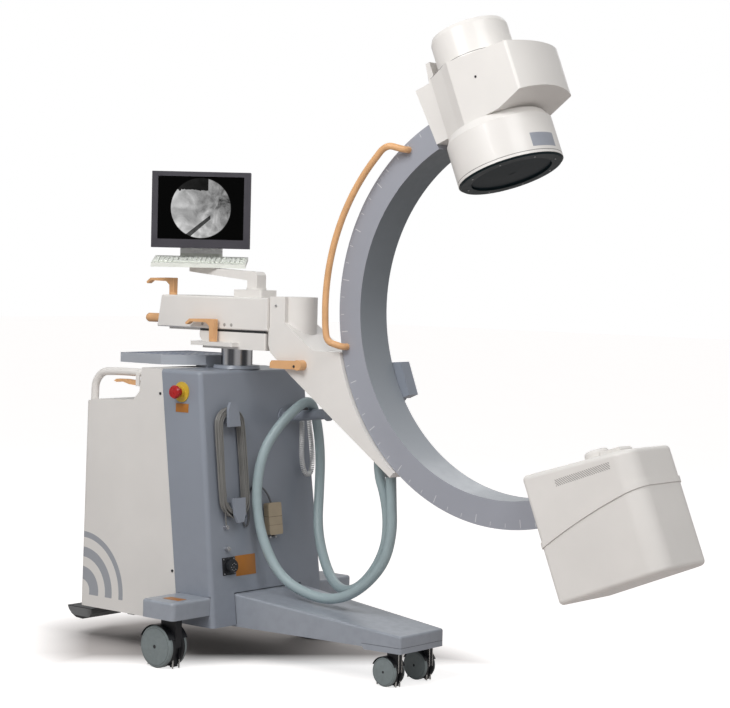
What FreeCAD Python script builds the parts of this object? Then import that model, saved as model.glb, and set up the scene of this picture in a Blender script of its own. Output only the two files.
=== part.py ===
"""Mobile C-arm x-ray unit, built as a parametric assembly.

Frame: +X points from the push handles towards the opening of the C, +Y to the
machine's left, +Z up. The origin lies on the floor under the middle of the unit.
Lengths are millimetres and angles are degrees.
"""
import FreeCAD, Part
import math
import os
import Sketcher
from FreeCAD import Placement, Rotation, Vector

doc = FreeCAD.newDocument("mobile_c_arm")
sheet = doc.addObject("Spreadsheet::Sheet", "sizes")
PARTS = []


class Size:
    """A number that remembers the sheet formula it came from."""

    def __init__(self, value, text):
        self.value = value
        self.text = text

    def _join(self, other, sign, value, flip=False):
        text = other.text if isinstance(other, Size) else repr(other)
        pair = (text, self.text) if flip else (self.text, text)
        return Size(value, "(%s %s %s)" % (pair[0], sign, pair[1]))

    def __add__(self, other):
        return self._join(other, "+", self.value + number(other))

    def __radd__(self, other):
        return self._join(other, "+", number(other) + self.value, True)

    def __sub__(self, other):
        return self._join(other, "-", self.value - number(other))

    def __rsub__(self, other):
        return self._join(other, "-", number(other) - self.value, True)

    def __mul__(self, other):
        return self._join(other, "*", self.value * number(other))

    def __rmul__(self, other):
        return self._join(other, "*", number(other) * self.value, True)

    def __truediv__(self, other):
        return self._join(other, "/", self.value / number(other))

    def __neg__(self):
        return Size(-self.value, "(0 - %s)" % self.text)


def number(size):
    return size.value if isinstance(size, Size) else float(size)


def formula(size):
    return size.text if isinstance(size, Size) else repr(float(size))


def cosine(angle):
    return Size(math.cos(math.radians(number(angle))), "cos(%s * 1deg)" % formula(angle))


def sine(angle):
    return Size(math.sin(math.radians(number(angle))), "sin(%s * 1deg)" % formula(angle))


def angle_of(rise, run):
    """The slope angle in degrees of a line that rises over a run."""
    value = math.degrees(math.atan(number(rise) / number(run)))
    return Size(value, "(atan(%s / %s) / 1deg)" % (formula(rise), formula(run)))


def size(name, value):
    """Writes one driving dimension into the sheet and hands it back."""
    size.row += 1
    cell = "B%d" % size.row
    sheet.set("A%d" % size.row, name)
    sheet.set(cell, repr(value))
    sheet.setAlias(cell, name)
    return Size(float(value), "sizes.%s" % name)


size.row = 0

# Fits shared by the whole machine
gap = size("running_gap", 0.5)
fit = size("bearing_clearance", 0.08)
seat_gap = size("seat_gap", 0.3)
sheet_wall = size("cover_wall", 4.5)

# The drawings below measure x from a point this far in front of the unit's middle
frame_x = size("drawing_origin_x", 46.7)

# The C and its rest position
c_x = size("c_centre_x", 450)
c_z = size("c_centre_z", 1058)
c_tilt = size("c_rest_tilt", 22)
c_outer = size("c_outer_radius", 580)
c_inner = size("c_inner_radius", 503)
c_depth = size("c_depth", 119)
c_half_span = size("c_half_span", 84)
slot_mouth = size("slot_mouth_width", 34)
slot_lip = size("slot_lip", 12)
slot_width = size("slot_width", 66)
slot_depth = size("slot_depth", 30)
beam_x = size("beam_line_offset", 111)

# Column, head and arm
column_x = size("column_x", -585)
column_radius = size("column_radius", 47.5)
column_tube_radius = size("column_outer_tube_radius", 60)
column_bottom = size("column_bottom", 196)
deck_z = size("cabinet_top", 859)
head_z = size("head_bottom", 921)
head_height = size("head_height", 51)
head_rear_x = size("head_rear_x", -674)
head_front_x = size("head_front_x", -402)
head_width = size("head_width", 150)
arm_z = size("arm_axis_height", 1028)
arm_height = size("arm_height", 98)
arm_width = size("arm_width", 150)
arm_rear_x = size("arm_rear_x", -836)
arm_front_x = size("arm_front_x", -395)
arm_rake = size("arm_rear_rake", 18)
arm_wall = size("arm_wall", 8)
rail_height = size("rail_height", 5)
rail_width = size("rail_width", 16)
rail_spread = size("rail_spread", 52)
shaft_radius = size("flip_shaft_radius", 24)

# Carriage casting
bracket_width = size("bracket_width", 140)
barrel_radius = size("barrel_radius", 52)
bracket_gap = size("bracket_to_rim_gap", 2)

# Base
front_bottom_x = size("front_face_bottom_x", -425)
front_top_x = size("front_face_top_x", -513)
seam_bottom_x = size("cover_seam_bottom_x", -570)
seam_top_x = size("cover_seam_top_x", -672)
rear_x = size("rear_face_x", -997)
side_bottom = size("side_bottom_y", 247)
side_top = size("side_top_y", 232)
skirt_z = size("skirt_height", 114)
step_z = size("rear_step_height", 756)
chassis_z = size("chassis_bottom", 118)
chassis_height = size("chassis_height", 78)
chassis_half = size("chassis_half_width", 239)
chassis_front_x = size("chassis_front_x", -462)
chassis_rear_x = size("chassis_rear_x", -988)
leg_root_half = size("leg_root_half_width", 148)
leg_tip_half = size("leg_tip_half_width", 98)
leg_bottom = size("leg_bottom", 108)
leg_root_top = size("leg_root_top", 207)
leg_tip_top = size("leg_tip_top", 150)
leg_tip_x = size("leg_tip_x", 153)
rigger_x = size("outrigger_x", -507)
rigger_width = size("outrigger_width", 130)
rigger_bottom = size("outrigger_bottom", 151)
rigger_top = size("outrigger_top", 203)
rigger_reach = size("outrigger_reach", 396)

# Castors
rear_wheel = size("rear_wheel_radius", 62.5)
rear_castor_y = size("rear_castor_y", 332)
rear_trail = size("rear_castor_trail", 33)
front_wheel = size("front_wheel_radius", 42)
front_castor_x = size("front_castor_x", 112)
front_castor_y = size("front_castor_y", 70)
front_trail = size("front_castor_trail", 22)
wheel_share = size("wheel_share", 0.32)
stem_radius = size("castor_stem_radius", 9)

# Image intensifier and tube head, in the C's own frame
can_radius = size("intensifier_radius", 147.5)
can_face = size("intensifier_face_height", 362)
can_top = size("intensifier_can_top", 478)
housing_half = size("intensifier_housing_half_width", 122)
housing_nose = size("intensifier_nose_reach", 318)
nose_round = size("intensifier_nose_radius", 280)
housing_top = size("intensifier_housing_top", 690)
camera_radius = size("camera_radius", 109)
camera_top = size("camera_top", 786)
tube_left = size("tube_head_left", -61)
tube_right = size("tube_head_right", 278)
tube_half = size("tube_head_half_width", 120)
tube_top_left = size("tube_head_top_left", -434)
tube_top_right = size("tube_head_top_right", -464)
tube_bottom = size("tube_head_bottom", -787)
tube_wall = size("tube_cover_wall", 4)
split_left = size("tube_split_left", -634)
split_middle = size("tube_split_middle", -590)
split_right = size("tube_split_right", -562)

# Monitor
screen_turn = size("screen_turn", 39.5)
screen_width = size("screen_width", 264)
screen_height = size("screen_height", 193)
bezel_width = size("bezel_width", 302)
bezel_height = size("bezel_height", 234)
monitor_depth = size("monitor_depth", 46)
monitor_x = size("monitor_x", -748)
monitor_shelf_z = size("monitor_shelf_height", 1172)
monitor_base_z = size("monitor_bottom", 1222)
monitor_post_x = size("monitor_post_x", -510)

# Orange levers
grip_reach = size("grip_reach", 112)
grip_rise = size("grip_rise", 62)
doc.recompute()


def bind(thing, name, value):
    if isinstance(value, Size):
        thing.setExpression(name, value.text)
    else:
        thing.setExpression(name, repr(float(value)))


def place(thing, x=0, y=0, z=0, axis=None, angle=0):
    """Sets a placement whose position, and angle where it is a Size, follow the sheet."""
    x = x + frame_x
    if axis:
        thing.Placement = Placement(Vector(), Rotation(Vector(*axis), number(angle)))
        if isinstance(angle, Size):
            bind(thing, "Placement.Rotation.Angle", angle)
    for name, value in zip("xyz", (x, y, z)):
        bind(thing, "Placement.Base." + name, value)


def new_body(label, x=0, y=0, z=0, axis=None, angle=0):
    body = doc.addObject("PartDesign::Body", label)
    body.Label = label
    place(body, x, y, z, axis, angle)
    PARTS.append(body)
    return body


def c_body(label):
    """A body drawn in the C's own frame, with the beam along its z axis."""
    return new_body(label, c_x, 0, c_z, (0, 1, 0), -c_tilt)


def new_sketch(body, plane="XZ_Plane", offset=0):
    """Sketch axes: XY gives x, y; XZ gives x, z and faces -Y; YZ gives y, z and faces +X."""
    sketch = body.newObject("Sketcher::SketchObject", body.Name + "_sketch")
    origin = [feature for feature in body.Origin.OriginFeatures if feature.Role == plane][0]
    sketch.AttachmentSupport = [(origin, "")]
    sketch.MapMode = "FlatFace"
    bind(sketch, "AttachmentOffset.Base.z", offset)
    return sketch


def fix_point(sketch, edge, corner, point):
    for kind, value in zip(("DistanceX", "DistanceY"), point):
        constraint = Sketcher.Constraint(kind, -1, 1, edge, corner, number(value))
        index = sketch.addConstraint(constraint)
        if isinstance(value, Size):
            sketch.setExpression("Constraints[%d]" % index, value.text)


def polygon(sketch, points):
    first = sketch.GeometryCount
    count = len(points)
    spots = [Vector(number(x), number(y), 0) for x, y in points]
    for index in range(count):
        sketch.addGeometry(Part.LineSegment(spots[index], spots[(index + 1) % count]))
    for index in range(count):
        following = first + (index + 1) % count
        sketch.addConstraint(Sketcher.Constraint("Coincident", first + index, 2, following, 1))
    for index, point in enumerate(points):
        fix_point(sketch, first + index, 1, point)
    return sketch


def rectangle(sketch, x_low, x_high, y_low, y_high):
    return polygon(sketch, [(x_low, y_low), (x_high, y_low), (x_high, y_high), (x_low, y_high)])


def circle(sketch, x, y, radius):
    centre = Vector(number(x), number(y), 0)
    edge = sketch.addGeometry(Part.Circle(centre, Vector(0, 0, 1), number(radius)))
    fix_point(sketch, edge, 3, (x, y))
    index = sketch.addConstraint(Sketcher.Constraint("Radius", edge, number(radius)))
    if isinstance(radius, Size):
        sketch.setExpression("Constraints[%d]" % index, radius.text)
    return sketch


def feature(body, kind, sketch, length, both=False, back=False):
    item = body.newObject("PartDesign::" + kind, body.Name + "_" + kind.lower())
    item.Profile = sketch
    bind(item, "Length", length)
    item.Midplane = both
    item.Reversed = back
    sketch.Visibility = False
    return item


def pad(body, sketch, length, both=False, back=False):
    return feature(body, "Pad", sketch, length, both, back)


def pocket(body, sketch, length, both=False, back=False):
    """Cuts a sketch out of the body and makes sure that something was cut."""
    doc.recompute()
    before = body.Shape.Volume
    item = feature(body, "Pocket", sketch, length, both, back)
    doc.recompute()
    if body.Shape.Volume > before - 1e-6:
        raise RuntimeError("%s: the pocket points away from the solid" % body.Label)
    return item


def revolve(body, sketch, angle=360, both=False, axis="V_Axis", kind="Revolution"):
    item = body.newObject("PartDesign::" + kind, body.Name + "_turn")
    item.Profile = sketch
    item.ReferenceAxis = (sketch, [axis])
    bind(item, "Angle", angle)
    item.Midplane = both
    return item


def fillet(body, radius, wanted, kind="Fillet"):
    """Rounds or bevels the edges of the body's last feature that wanted(edge) picks."""
    doc.recompute()
    base = body.Tip
    names = []
    for index, edge in enumerate(base.Shape.Edges):
        if wanted(edge):
            names.append("Edge%d" % (index + 1))
    item = body.newObject("PartDesign::" + kind, body.Name + "_" + kind.lower())
    item.Base = (base, names)
    bind(item, "Radius" if kind == "Fillet" else "Size", radius)
    return item


def along(edge, direction):
    """True for a straight edge parallel to a direction."""
    if not isinstance(edge.Curve, Part.Line):
        return False
    return abs(abs(edge.Curve.Direction.dot(Vector(*direction))) - 1) < 1e-6


def middle(edge):
    return edge.valueAt((edge.FirstParameter + edge.LastParameter) / 2)


def slab(label, points, width, x=0, y=0, z=0, axis=None, angle=0):
    """A side outline in XZ, extruded to both sides of its own plane."""
    body = new_body(label, x, y, z, axis, angle)
    pad(body, polygon(new_sketch(body), points), width, both=True)
    return body


def lathe(label, profile, x=0, y=0, z=0, axis=None, angle=0):
    """A profile of (radius, height) points turned about the body's z axis."""
    body = new_body(label, x, y, z, axis, angle)
    revolve(body, polygon(new_sketch(body), profile))
    return body


def computed(label, shape, x=0, y=0, z=0, axis=None, angle=0):
    """A shape made with geometry functions from the sheet's values."""
    item = doc.addObject("Part::Feature", label)
    item.Label = label
    item.Shape = shape
    place(item, x, y, z, axis, angle)
    PARTS.append(item)
    return item


def rounded_route(points):
    """Straight runs joined by tangent arcs, as large as the two runs beside a corner allow."""
    spots = [Vector(*point) for point in points]
    edges = []
    radii = []
    start = spots[0]
    for before, corner, after in zip(spots, spots[1:], spots[2:]):
        into = (corner - before).normalize()
        out = (after - corner).normalize()
        turn = into.getAngle(out)
        reach = 0.45 * min((corner - before).Length, (after - corner).Length)
        radii.append(reach / math.tan(turn / 2))
        enter = corner - into * reach
        leave = corner + out * reach
        bisector = (out - into).normalize()
        centre = corner + bisector * (radii[-1] / math.cos(turn / 2))
        halfway = centre - bisector * radii[-1]
        edges.append(Part.LineSegment(start, enter).toShape())
        edges.append(Part.Arc(enter, halfway, leave).toShape())
        start = leave
    edges.append(Part.LineSegment(start, spots[-1]).toShape())
    return Part.Wire(edges), radii


def tube(label, points, radius, cord=True):
    """A round tube along a rounded route; prints its tightest bend and volume check."""
    path, radii = rounded_route(points)
    heading = Vector(*points[1]) - Vector(*points[0])
    ring = Part.Wire([Part.Circle(Vector(*points[0]), heading, radius).toShape()])
    shape = path.makePipeShell([ring], True, False)
    expected = math.pi * radius * radius * path.Length
    print("%s: length %.0f, tightest bend %.1f diameters, volume ratio %.4f" % (
        label, path.Length, min(radii) / (2 * radius), shape.Volume / expected))
    if cord:
        return computed(label, shape)
    return shape


def box_shape(x_low, x_high, y_low, y_high, z_low, z_high):
    lows = [number(value) for value in (x_low, y_low, z_low)]
    highs = [number(value) for value in (x_high, y_high, z_high)]
    lengths = [high - low for low, high in zip(lows, highs)]
    return Part.makeBox(lengths[0], lengths[1], lengths[2], Vector(*lows))


def lean(z, bottom_value, top_value):
    """A value that runs in a straight line from the skirt to the cabinet top."""
    share = (z - skirt_z) / (deck_z - skirt_z)
    return bottom_value + share * (top_value - bottom_value)


# Chassis: a ladder frame with the column bore, and the members that reach out of it
chassis_top = chassis_z + chassis_height
chassis = new_body("chassis_frame")
pad(chassis, rectangle(new_sketch(chassis, "XY_Plane", chassis_z), chassis_rear_x, chassis_front_x,
                       -chassis_half, chassis_half), chassis_height)
rail = size("chassis_rail_width", 46)
cross_x = column_x - 320
for low, high in ((chassis_rear_x + rail, cross_x), (cross_x + 1.5 * rail, column_x - 100)):
    window = new_sketch(chassis, "XY_Plane", chassis_top)
    rectangle(window, low, high, -chassis_half + rail, chassis_half - rail)
    pocket(chassis, window, chassis_height)
fillet(chassis, 10, lambda edge: along(edge, (0, 0, 1)))
pedal_y = size("pedal_y", -134)
pedal_pivot_x = size("pedal_pivot_x", -869)
pedal_pivot_z = size("pedal_pivot_height", 100)
lugs = new_sketch(chassis, "XY_Plane", chassis_z)
for side in (-1, 1):
    inner_y = pedal_y + side * (9 + gap)
    rectangle(lugs, pedal_pivot_x - 14, pedal_pivot_x + 14, inner_y, inner_y + side * 8)
pad(chassis, lugs, chassis_z - pedal_pivot_z + 12, back=True)
pin = new_sketch(chassis)
circle(pin, pedal_pivot_x, pedal_pivot_z, 4)
pin_pad = pad(chassis, pin, 20 + 2 * gap, both=True)
bind(pin, "AttachmentOffset.Base.z", -pedal_y)

leg = new_body("front_leg")
leg_root_x = chassis_front_x
leg_side = [(leg_root_x, leg_bottom), (leg_tip_x - 130, leg_bottom), (leg_tip_x - 124, leg_bottom - 8),
            (leg_tip_x, leg_bottom - 8), (leg_tip_x, leg_tip_top), (leg_root_x, leg_root_top)]
pad(leg, polygon(new_sketch(leg), leg_side), 2 * leg_root_half, both=True)
for side in (-1, 1):
    taper = new_sketch(leg, "XY_Plane", leg_root_top + 1)
    polygon(taper, [(leg_root_x, side * leg_root_half), (leg_tip_x, side * leg_tip_half),
                    (leg_tip_x + 1, side * (leg_root_half + 1)),
                    (leg_root_x, side * (leg_root_half + 1))])
    pocket(leg, taper, leg_root_top - leg_bottom + 10)


fillet(leg, 7, lambda edge: middle(edge).x > number(leg_root_x) + 1
       and (middle(edge).z > number(leg_tip_top) - 2
            or along(edge, (0, 0, 1)) and middle(edge).x > number(leg_tip_x) - 1))
for side in (-1, 1):
    bore = circle(new_sketch(leg, "XY_Plane", leg_bottom - 8), front_castor_x, side * front_castor_y,
                  stem_radius + fit)
    pocket(leg, bore, 24, back=True)

for label, side in (("outrigger_right", -1), ("outrigger_left", 1)):
    rigger = new_body(label, rigger_x, 0, rigger_bottom)
    plan = new_sketch(rigger, "XY_Plane")
    rectangle(plan, -rigger_width / 2, rigger_width / 2, side * chassis_half, side * rigger_reach)
    pad(rigger, plan, rigger_top - rigger_bottom)
    outer = number(rigger_reach)
    fillet(rigger, 14, lambda edge: along(edge, (0, 0, 1)) and abs(middle(edge).y) > outer - 2)
    fillet(rigger, 8, lambda edge: middle(edge).z > number(rigger_top - rigger_bottom) - 0.1
           and abs(middle(edge).y) > number(chassis_half) + 1)
    bore = circle(new_sketch(rigger, "XY_Plane"), 0, side * rear_castor_y, stem_radius + fit)
    pocket(rigger, bore, 26, back=True)


# Castors: a twin-wheel pair on a swivelling hood
def castor(name, x, y, radius, trail, mount_z):
    width = radius * 1.24
    wheel_width = width * wheel_share
    hood = new_body(name + "_fork", x, y, 0)
    hood_top = mount_z - seat_gap
    centre_half = width / 2 - wheel_width - 1
    cheek = new_sketch(hood)
    circle(cheek, -trail, radius, radius * 0.8)
    pad(hood, cheek, 2 * centre_half, both=True)
    neck = new_sketch(hood)
    rectangle(neck, -trail, radius * 0.42, radius, hood_top)
    pad(hood, neck, 2 * centre_half, both=True)
    toe = new_sketch(hood)
    for shift in (-0.72, 0.62):
        rectangle(toe, -trail + radius * shift, -trail + radius * (shift + 0.1), radius * 0.08, radius)
    pad(hood, toe, 2 * centre_half, both=True)
    plate = new_sketch(hood, "XY_Plane", hood_top - 5)
    circle(plate, 0, 0, radius * 0.46)
    pad(hood, plate, 5)
    stem = new_sketch(hood, "XY_Plane", hood_top - 5)
    circle(stem, 0, 0, stem_radius)
    pad(hood, stem, 5 + seat_gap + 20)
    bore = new_sketch(hood)
    circle(bore, -trail, radius, radius * 0.12 + fit)
    pocket(hood, bore, 3 * centre_half, both=True)
    wheels = new_body(name + "_wheels", x - trail, y, radius, (1, 0, 0), 90)
    inner = centre_half + 1
    rim = inner + wheel_width
    profile = [(0, -rim + 2), (radius * 0.12, -rim), (radius * 0.86, -rim + 2), (radius * 0.94, -rim + 3),
               (radius, -rim + 8), (radius, -inner - 1), (radius * 0.9, -inner), (radius * 0.12, -inner),
               (radius * 0.12, inner), (radius * 0.9, inner), (radius, inner + 1), (radius, rim - 8),
               (radius * 0.94, rim - 3), (radius * 0.86, rim - 2), (radius * 0.12, rim), (0, rim - 2)]
    revolve(wheels, polygon(new_sketch(wheels), profile))


for side_name, side in (("right", -1), ("left", 1)):
    castor("rear_castor_" + side_name, rigger_x, side * rear_castor_y, rear_wheel, rear_trail,
           rigger_bottom)
    castor("front_castor_" + side_name, front_castor_x, side * front_castor_y, front_wheel,
           front_trail, leg_bottom - 8)


# Cabinet covers: a grey front shell and a white rear cover, both open underneath
def prism(x_low, x_high, y_low, y_high, z_low, x_low_top, x_high_top, y_low_top, y_high_top, z_high):
    """A solid ruled between a rectangle at one height and another above it."""
    bottom = [(x_low, y_low), (x_high, y_low), (x_high, y_high), (x_low, y_high)]
    top = [(x_low_top, y_low_top), (x_high_top, y_low_top), (x_high_top, y_high_top),
           (x_low_top, y_high_top)]
    rings = []
    for corners, z in ((bottom, z_low), (top, z_high)):
        spots = [Vector(number(x), number(y), number(z)) for x, y in corners]
        rings.append(Part.makePolygon(spots + spots[:1]))
    return Part.makeLoft(rings, True, True)


def round_solid(shape, radius, wanted):
    return shape.makeFillet(radius, [edge for edge in shape.Edges if wanted(edge)])


def front_shell_shape():
    outer = prism(seam_bottom_x, front_bottom_x, -side_bottom, side_bottom, skirt_z,
                  seam_top_x, front_top_x, -side_top, side_top, deck_z)
    front_x = number(front_bottom_x + front_top_x) / 2
    outer = round_solid(outer, 14, lambda edge: abs(middle(edge).x - front_x) < 3)
    outer = round_solid(outer, 12, lambda edge: middle(edge).z > number(deck_z) - 1
                        and middle(edge).x > number(seam_top_x) + 2)
    wall = sheet_wall
    inner = prism(seam_bottom_x - 2, front_bottom_x - wall, -side_bottom + wall, side_bottom - wall,
                  skirt_z - 1, seam_top_x - 2, front_top_x - wall, -side_top + wall,
                  side_top - wall, deck_z - wall)
    inner = round_solid(inner, 10, lambda edge: abs(middle(edge).x - front_x + number(wall)) < 3)
    shell = outer.cut(inner)
    leg_hole = box_shape(leg_root_x, front_bottom_x + 20, -leg_root_half - gap, leg_root_half + gap,
                         leg_bottom - 20, leg_root_top + gap)
    riggers = box_shape(rigger_x - rigger_width / 2 - gap, rigger_x + rigger_width / 2 + gap,
                        -rigger_reach, rigger_reach, rigger_bottom - gap, rigger_top + gap)
    column = Part.makeCylinder(number(column_tube_radius + gap), 60,
                               Vector(number(column_x), 0, number(deck_z) - 30))
    return shell.cut(leg_hole).cut(riggers).cut(column)


computed("front_shell", front_shell_shape())


def rear_cover_shape():
    outer = prism(rear_x, seam_bottom_x - seat_gap, -side_bottom, side_bottom, skirt_z,
                  rear_x, seam_top_x - seat_gap, -side_top, side_top, deck_z)
    rear = number(rear_x)
    outer = round_solid(outer, 16, lambda edge: abs(middle(edge).x - rear) < 1
                        and abs(middle(edge).y) > number(side_top))
    wall = sheet_wall
    inner = prism(rear_x + wall, seam_bottom_x + 2, -side_bottom + wall, side_bottom - wall,
                  skirt_z - 1, rear_x + wall, seam_top_x + 2, -side_top + wall, side_top - wall,
                  deck_z - wall)
    ramp_x = number(seam_top_x) - 92
    step = number(step_z)
    top = number(deck_z)
    ramp = [(rear - 5, step - 14), (rear + 30, step - 4), (ramp_x - 26, step + 4), (ramp_x, step + 30),
            (ramp_x + 8, top + 5), (rear - 5, top + 5)]
    spots = [Vector(x, -300, z) for x, z in ramp]
    notch = Part.Face(Part.makePolygon(spots + spots[:1])).extrude(Vector(0, 600, 0))
    lowered = [Vector(x, -300, z - number(wall)) for x, z in ramp]
    lowered = [Vector(spot.x - 5 if spot.x < rear else spot.x + number(wall), spot.y, spot.z)
               for spot in lowered]
    under = Part.Face(Part.makePolygon(lowered + lowered[:1])).extrude(Vector(0, 600, 0))
    shell = outer.cut(inner.cut(under)).cut(notch)
    return shell


computed("rear_cover", rear_cover_shape())

# Push handles: one bent tube on each side, from the cover's shoulder to its rear edge
handle_radius = size("push_handle_radius", 12)
handle_top = size("push_handle_top", 842)


def push_handle(side):
    y = side * (number(side_top) - 14)
    shoulder_x = number(seam_top_x) - 80
    high = number(handle_top)
    rear = number(rear_x) + 22
    route = [(shoulder_x, y, high), (rear + 110, y, high), (rear + 34, y, high - 4),
             (rear + 2, y, high - 36), (rear, y, number(step_z) - 10)]
    return tube("push_handle", route, number(handle_radius), cord=False)


lever_pivot_x = seam_top_x - 102
lever_pivot_z = handle_top - 33


def lever_fork(side_y):
    """Two cheeks under the right handle with the pin that carries the brake lever."""
    x = number(lever_pivot_x)
    z = number(lever_pivot_z)
    y = number(side_y)
    fork = Part.makeCylinder(3, 28, Vector(x, y - 14, z), Vector(0, 1, 0))
    for low, high in ((y - 14, y - 10.6), (y + 10.6, y + 14)):
        fork = fork.fuse(box_shape(x - 8, x + 8, low, high, z - 8, number(handle_top)))
    return fork


right_handle = push_handle(-1).fuse(lever_fork(14 - side_top))
computed("push_handles", Part.makeCompound([right_handle, push_handle(1)]))

# Column: fixed outer tube on the chassis, chromed inner column that rises out of it
outer_tube = lathe("column_outer_tube", [
    (column_radius + fit, column_bottom), (92, column_bottom), (92, column_bottom + 8),
    (column_tube_radius, column_bottom + 12), (column_tube_radius, deck_z + 1),
    (column_tube_radius + 12, deck_z + 1), (column_tube_radius + 9, deck_z + 11),
    (column_radius + fit, deck_z + 11)], column_x)
lift_column = lathe("lift_column", [
    (0, column_bottom + 40), (column_radius, column_bottom + 40), (column_radius, head_z),
    (0, head_z)], column_x)
# Console tray behind the column, on a pedestal that stands on the cabinet top
tray_z = size("tray_bottom", 866)
tray_height = size("tray_height", 30)
tray_half = size("tray_half_width", 150)
tray = new_body("console_tray")
tray_outline = [(-940, -tray_half), (-758, -tray_half), (-702, -tray_half * 0.66), (-664, -52),
                (-664, 52), (-702, tray_half * 0.66), (-758, tray_half), (-940, tray_half)]
pad(tray, polygon(new_sketch(tray, "XY_Plane", tray_z), tray_outline), tray_height)
fillet(tray, 6, lambda edge: along(edge, (0, 0, 1)))
recess = new_sketch(tray, "XY_Plane", tray_z + tray_height)
polygon(recess, [(-928, -tray_half + 12), (-763, -tray_half + 12), (-712, -tray_half * 0.66 + 8),
                 (-676, -44), (-676, 44), (-712, tray_half * 0.66 - 8), (-763, tray_half - 12),
                 (-928, tray_half - 12)])
pocket(tray, recess, 4)
stand = new_sketch(tray, "XY_Plane", tray_z)
rectangle(stand, -712, -664, -46, 46)
pad(tray, stand, tray_z - deck_z, back=True)
keypad = new_body("control_membrane")
pad(keypad, polygon(new_sketch(keypad, "XY_Plane", tray_z + tray_height - 4), [
    (-927, -tray_half + 13), (-764, -tray_half + 13), (-713, -tray_half * 0.66 + 9), (-677, -43),
    (-677, 43), (-713, tray_half * 0.66 - 9), (-764, tray_half - 13), (-927, tray_half - 13)]), 2.5)

# Swivel head on top of the column, with the rail blocks that guide the arm
head_top = head_z + head_height
head = slab("swivel_head", [
    (head_rear_x + 14, head_z + 20), (head_rear_x + 14, head_z), (head_front_x, head_z),
    (head_front_x, head_top), (head_rear_x, head_top), (head_rear_x, head_top - 14)], head_width)
lip_y = head_width / 2 + 32
pad(head, rectangle(new_sketch(head, "XY_Plane", head_z + 8), head_rear_x - 6, column_x + 78,
                    -lip_y, lip_y), 12)
fillet(head, 5, lambda edge: along(edge, (0, 0, 1)))
for side in (-1, 1):
    for edge_side in (-1, 1):
        inner_y = side * rail_spread + edge_side * (rail_width / 2 + seat_gap)
        block = new_sketch(head, "XY_Plane", head_top)
        rectangle(block, column_x - 60, head_front_x - 30, inner_y, inner_y + edge_side * 9)
        pad(head, block, rail_height)

# Arm housing: a hollow beam with a raked rear end, guided on the head by two rails
arm_bottom = arm_z - arm_height / 2
arm_top = arm_z + arm_height / 2
arm = slab("arm_housing", [
    (arm_rear_x - arm_rake, arm_bottom), (arm_front_x, arm_bottom), (arm_front_x, arm_top),
    (arm_rear_x, arm_top)], arm_width)
fillet(arm, 5, lambda edge: along(edge, (1, 0, 0)))
shaft_length = size("flip_shaft_length", 300)
bore = circle(new_sketch(arm, "YZ_Plane", arm_front_x), 0, arm_z, shaft_radius + fit)
pocket(arm, bore, shaft_length + 10)
for side in (-1, 1):
    guide = new_sketch(arm, "XY_Plane", arm_bottom)
    rectangle(guide, arm_rear_x + 20, arm_front_x, side * rail_spread - rail_width / 2,
              side * rail_spread + rail_width / 2)
    pad(arm, guide, arm_bottom - head_top - 2 * seat_gap, back=True)
# Carriage casting: cheek plates, the barrel beside the arm and the curved seat for the C
bracket_start = arm_front_x + 1.5
barrel_x = bracket_start + 60
bracket = new_body("carriage_bracket")
edge_left = (-132, 732)
edge_right = (77, 586)
cheek_points = [(bracket_start, 985), (bracket_start + 56, 1010), (-218, 929), (-104, 929), (60, 760),
                (93, 604), edge_right, edge_left, (-312, 859), (-385, 917), (bracket_start, 940)]
pad(bracket, polygon(new_sketch(bracket), cheek_points), bracket_width, both=True)
block = new_sketch(bracket, "XY_Plane", 935)
rectangle(block, bracket_start, barrel_x, -barrel_radius - 14, barrel_radius + 14)
pad(bracket, block, arm_top + 5 - 935)
barrel = new_sketch(bracket, "XY_Plane", 935)
circle(barrel, barrel_x, 0, barrel_radius)
pad(bracket, barrel, arm_top + 5 - 935)
bite = circle(new_sketch(bracket), c_x, c_z, c_outer + bracket_gap)
pocket(bracket, bite, 2 * bracket_width, both=True)

shaft = lathe("flip_shaft", [
    (0, 0), (shaft_radius, 0), (shaft_radius, shaft_length), (0, shaft_length)],
    bracket_start, 0, arm_z, (0, 1, 0), -90)
truck = new_body("roller_truck", c_x, 0, c_z)
truck_low = size("truck_low_angle", 196)
truck_high = size("truck_high_angle", 226)
rib_half = size("truck_rib_half_width", 14)
roller_ring = c_outer - slot_lip - slot_depth / 2
truck_plan = new_sketch(truck, "XY_Plane")
rectangle(truck_plan, -c_outer - bracket_gap, -roller_ring + 6, -rib_half, rib_half)
revolve(truck, truck_plan, truck_high - truck_low, both=True)
place(truck, c_x, 0, c_z, (0, 1, 0), 180 - (truck_low + truck_high) / 2)
roller_radius = slot_depth / 2 - gap
rollers = []
for step in range(4):
    angle = math.radians(truck_low.value + 4 + step * (truck_high.value - truck_low.value - 8) / 3)
    centre = Vector(number(c_x) + number(roller_ring) * math.cos(angle), 0,
                    number(c_z) + number(roller_ring) * math.sin(angle))
    width = number(slot_width) / 2 - 1 - number(rib_half)
    for side in (-1, 1):
        base = centre + Vector(0, side * number(rib_half), 0)
        rollers.append(Part.makeCylinder(number(roller_radius), width, base, Vector(0, side, 0)))
computed("carriage_rollers", Part.makeCompound(rollers))
brake = new_body("carriage_brake_housing")
plate_side = [(-108, 900), (-40, 884), (10, 800), (-34, 748), (-90, 790)]
pad(brake, polygon(new_sketch(brake, "XZ_Plane", -bracket_width / 2), plate_side), 14, back=True)
brake_side = [(-35, 902), (1, 905), (37, 812), (8, 800), (-60, 830), (-60, 870)]
pad(brake, polygon(new_sketch(brake, "XZ_Plane", -c_depth / 2 - 2), brake_side), 40, back=True)

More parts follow.
